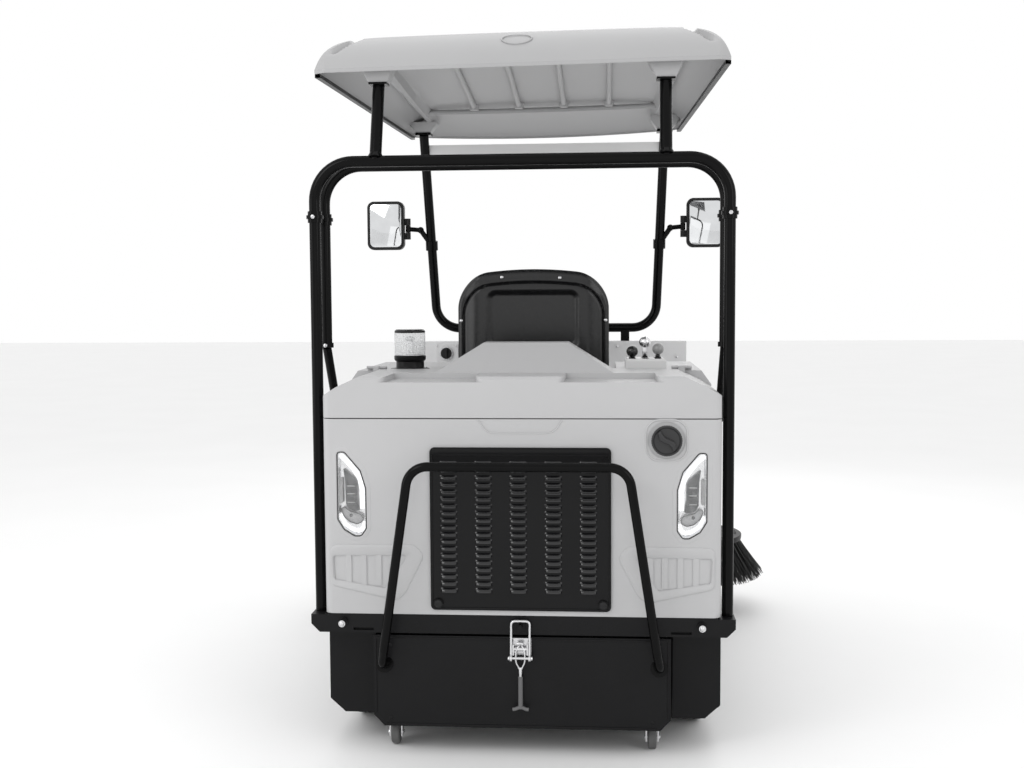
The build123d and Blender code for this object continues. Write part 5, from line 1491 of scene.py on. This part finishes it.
def build_latch():
    """The latch handle: pivot bars, wire fork, ferrule, sleeve and cross foot."""
    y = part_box("latch_handle")[1].y
    bar_y = y - 0.016
    wire = Form()
    wire.tube([(-0.0315, bar_y, 0.292), (0.0315, bar_y, 0.292)], 0.0038, 16)
    wire.tube([(-0.0165, y - 0.008, 0.316), (0.0165, y - 0.008, 0.316)], 0.0055, 16)
    for side, word in SIDES:
        leg = [(0.0030, y - 0.008, 0.327), (0.0080, y - 0.011, 0.320), (0.0122, y - 0.014, 0.308), (0.0128, y - 0.016, 0.296),
               (0.0128, y - 0.016, 0.286), (0.0110, y - 0.015, 0.277), (0.0060, y - 0.013, 0.267), (0.0030, y - 0.012, 0.260)]
        wire.tube([(side * x, leg_y, z) for x, leg_y, z in leg], 0.0024, 12)
        wire.lathe([(0.0062, 0.0), (0.0066, 0.0016), (0.0052, 0.0044), (0.0008, 0.0046)], facing((side * 0.0300, bar_y, 0.292), (side, 0, 0)), 20)
    wire.tube([(-0.0085, y - 0.010, 0.331), (0.0, y - 0.011, 0.3335), (0.0085, y - 0.010, 0.331)], 0.0042, 14)
    sleeve_y = y - 0.012
    wire.lathe([(0.0030, 0.265), (0.0044, 0.262), (0.0046, 0.247), (0.0040, 0.244), (0.0042, 0.236)], Matrix.Translation((0, sleeve_y, 0)), 20)
    wire.piece("latch_wire_fork", "latch_grip", "zinc", None, ("latch_handle",))
    sleeve = Form()
    sleeve.lathe([(0.0052, 0.239), (0.0064, 0.2375), (0.0066, 0.156), (0.0056, 0.152)], Matrix.Translation((0, sleeve_y, 0)), 28)
    foot = [(-0.0225, sleeve_y, 0.1445), (-0.0150, sleeve_y, 0.1455), (-0.0050, sleeve_y, 0.1500), (0.0050, sleeve_y, 0.1500),
            (0.0150, sleeve_y, 0.1455), (0.0225, sleeve_y, 0.1445)]
    sleeve.tube(foot, 0.0050, 14)
    sleeve.piece("latch_sleeve", "latch_grip", "zinc", "grip_sleeve", ("latch_handle",))


# The front cowl gets the lighter copy of the shell grey: painted light.
NODE_FINISHES = {"header_panel": "header_paint", "front_cowl": "cowl_plastic"}


def dress_cad_nodes():
    """Give every machine part that stays in view its finish, by its slot."""
    slots = {part["node"]: part["material_slot"] for part in frame["record"]["subparts"]}
    for node, made in frame["nodes"].items():
        name = slots[node]
        name = NODE_FINISHES.get(node, name)
        made.data.materials.clear()
        made.data.materials.append(MATERIALS[name])


def build_stage():
    """Pale floor, soft studio lights, pale surroundings and the camera."""
    floor = Form()
    floor.plate([(-30, -30), (30, -30), (30, 30), (-30, 30)], Matrix.Translation((0, 0, -0.021)), 0.020)
    mesh = bpy.data.meshes.new("floor")
    floor.bm.to_mesh(mesh)
    floor.bm.free()
    ground = bpy.data.objects.new("floor", mesh)
    mesh.materials.append(floor_paint("floor_paint"))
    bpy.context.scene.collection.objects.link(ground)

    lights = (
        ("key", (-2.6, -3.6, 3.4), 1.8, 42, (0, 0, 0.9)),
        ("fill", (3.2, -3.2, 2.4), 1.8, 20, (0, 0, 0.9)),
        ("top", (0.0, 0.4, 4.6), 3.4, 26, (0, 0, 1.0)),
        ("back", (0.8, 4.2, 3.2), 2.6, 26, (0, 0, 1.2)),
        ("low", (0.0, -4.6, 0.7), 2.6, 6, (0, 0, 0.9)),
        ("side", (-3.4, -2.2, 1.3), 1.5, 12, (0, -0.4, 1.1)),
    )
    for name, place, size, power, target in lights:
        lamp = bpy.data.lights.new(name, "AREA")
        lamp.shape = "SQUARE"
        lamp.size = size
        lamp.energy = power
        holder = bpy.data.objects.new(name, lamp)
        holder.location = place
        holder.rotation_euler = (Vector(target) - Vector(place)).to_track_quat("-Z", "Y").to_euler()
        bpy.context.scene.collection.objects.link(holder)

    world = bpy.data.worlds.new("studio")
    world.use_nodes = True
    world.node_tree.nodes["Background"].inputs["Color"].default_value = (1.0, 1.0, 1.0, 1)
    world.node_tree.nodes["Background"].inputs["Strength"].default_value = 1.0
    bpy.context.scene.world = world
    bpy.context.scene.view_settings.view_transform = "Standard"

    yaw, pitch, roll = (math.radians(turn) for turn in (4.35, 4.17, 0.34))
    fwd = Vector((-math.sin(yaw) * math.cos(pitch), math.cos(yaw) * math.cos(pitch), -math.sin(pitch)))
    right = Vector((math.cos(yaw), math.sin(yaw), 0))
    down = fwd.cross(right)
    turned_right = right * math.cos(roll) + down * math.sin(roll)
    turned_down = down * math.cos(roll) - right * math.sin(roll)
    lens = bpy.data.cameras.new("camera")
    lens.sensor_width = 36.0
    lens.lens = 43.0
    camera = bpy.data.objects.new("camera", lens)
    matrix = Matrix((turned_right, -turned_down, -fwd)).transposed().to_4x4()
    matrix.translation = Vector((0.2364, -4.3129, 1.308))
    camera.matrix_world = matrix
    bpy.context.scene.collection.objects.link(camera)
    bpy.context.scene.camera = camera


# ---------------------------------------------------------------- operators
class SweeperStep(bpy.types.Operator):
    """Base of the building steps"""

    bl_idname = "sweeper.step"
    bl_label = "Step"

    def execute(self, context):
        self.build(context.scene.sweeper_sizes)
        return {"FINISHED"}

    def build(self, sizes):
        raise RuntimeError("a step has to say what it builds")


class SWEEPER_OT_finishes(SweeperStep):
    """Make the finishes and dress the machine's own parts"""

    bl_idname = "sweeper.finishes"
    bl_label = "Finishes"

    def build(self, sizes):
        make_finishes(bpy.context.scene.sweeper_colours)
        dress_cad_nodes()


class SWEEPER_OT_roof(SweeperStep):
    """Mould the roof with its ribs, pads and trim"""

    bl_idname = "sweeper.roof"
    bl_label = "Roof"

    def build(self, sizes):
        build_roof(sizes)


class SWEEPER_OT_seat(SweeperStep):
    """Make the seat shell and upholster the seat"""

    bl_idname = "sweeper.seat"
    bl_label = "Seat"

    def build(self, sizes):
        build_seat_shell(sizes)
        swell = sizes.seat_swell
        build_padding("seat_cushion_vinyl", "seat_cushion", (-0.220, -0.210, 0.8905), (0.220, 0.174, 0.989), 0.034,
                      (0.010, 0.012, 0.0), (-0.115, 0.115), 0, 2, 1, swell)
        build_padding("seat_back_vinyl", "seat_pad", (-0.208, -0.2505, 1.024), (0.208, -0.190, 1.363), 0.026,
                      (0.010, 0.0, 0.010), (1.115, 1.195, 1.275), 2, 1, 1, swell)


class SWEEPER_OT_rear(SweeperStep):
    """Press the louvres and make the lamps, beacon and filler cap details"""

    bl_idname = "sweeper.rear"
    bl_label = "Rear face and lamps"

    def build(self, sizes):
        build_louvres(sizes)
        build_fin_vents()
        build_tail_lamps(sizes)
        build_head_lamps()
        build_beacon()
        build_filler_cap()
        build_latch()


class SWEEPER_OT_brushes(SweeperStep):
    """Plant the bristles of the main brush and both side brushes"""

    bl_idname = "sweeper.brushes"
    bl_label = "Brushes"

    def build(self, sizes):
        build_side_brushes(sizes)
        build_main_brush(sizes)


class SWEEPER_OT_wheels(SweeperStep):
    """Mould the tyres and hubs and finish the casters"""

    bl_idname = "sweeper.wheels"
    bl_label = "Wheels and casters"

    def build(self, sizes):
        for side, word in SIDES:
            build_wheel(f"rear_wheel_{word}", f"rear_wheel_{word}", f"rear_road_wheel_{word}", 0.0045, 0.118, 0.015, 24)
        build_wheel("front_wheel", "front_wheel", "front_road_wheel", 0.004, 0.112, 0.012, 22)
        build_casters()


class SWEEPER_OT_details(SweeperStep):
    """Fit the mirror glass, boots, cockpit details and fasteners"""

    bl_idname = "sweeper.details"
    bl_label = "Small details"

    def build(self, sizes):
        build_mirror_glass()
        build_fasteners()
        build_hopper_details()
        build_lever_boots()
        build_cockpit()


class SWEEPER_OT_stage(SweeperStep):
    """Lay the floor and set the lights and camera"""

    bl_idname = "sweeper.stage"
    bl_label = "Floor, lights and camera"

    def build(self, sizes):
        build_stage()


STEPS = (
    SWEEPER_OT_finishes,
    SWEEPER_OT_roof,
    SWEEPER_OT_seat,
    SWEEPER_OT_rear,
    SWEEPER_OT_brushes,
    SWEEPER_OT_wheels,
    SWEEPER_OT_details,
    SWEEPER_OT_stage,
)


class SWEEPER_PT_panel(bpy.types.Panel):
    """Lists the building steps and the sizes and colours"""

    bl_idname = "SWEEPER_PT_panel"
    bl_label = "Ride on sweeper"
    bl_space_type = "VIEW_3D"
    bl_region_type = "UI"
    bl_category = "Sweeper"

    def draw(self, context):
        for settings in (context.scene.sweeper_colours, context.scene.sweeper_sizes):
            box = self.layout.box()
            for name in settings.bl_rna.properties.keys():
                if name not in ("rna_type", "name"):
                    box.prop(settings, name)
        for step in STEPS:
            self.layout.operator(step.bl_idname)


CLASSES = (SweeperColours, SweeperSizes, *STEPS, SWEEPER_PT_panel)


def register():
    """Add the classes and the settings to Blender."""
    for item in CLASSES:
        bpy.utils.register_class(item)
    bpy.types.Scene.sweeper_colours = bpy.props.PointerProperty(type=SweeperColours)
    bpy.types.Scene.sweeper_sizes = bpy.props.PointerProperty(type=SweeperSizes)


def unregister():
    """Take the classes and the settings out of Blender again."""
    del bpy.types.Scene.sweeper_colours
    del bpy.types.Scene.sweeper_sizes
    for item in reversed(CLASSES):
        bpy.utils.unregister_class(item)


def main():
    """Build everything in order."""
    register()
    bpy.ops.sweeper.finishes()
    bpy.ops.sweeper.roof()
    bpy.ops.sweeper.seat()
    bpy.ops.sweeper.rear()
    bpy.ops.sweeper.brushes()
    bpy.ops.sweeper.wheels()
    bpy.ops.sweeper.details()
    bpy.ops.sweeper.stage()


if __name__ == "__main__":
    main()
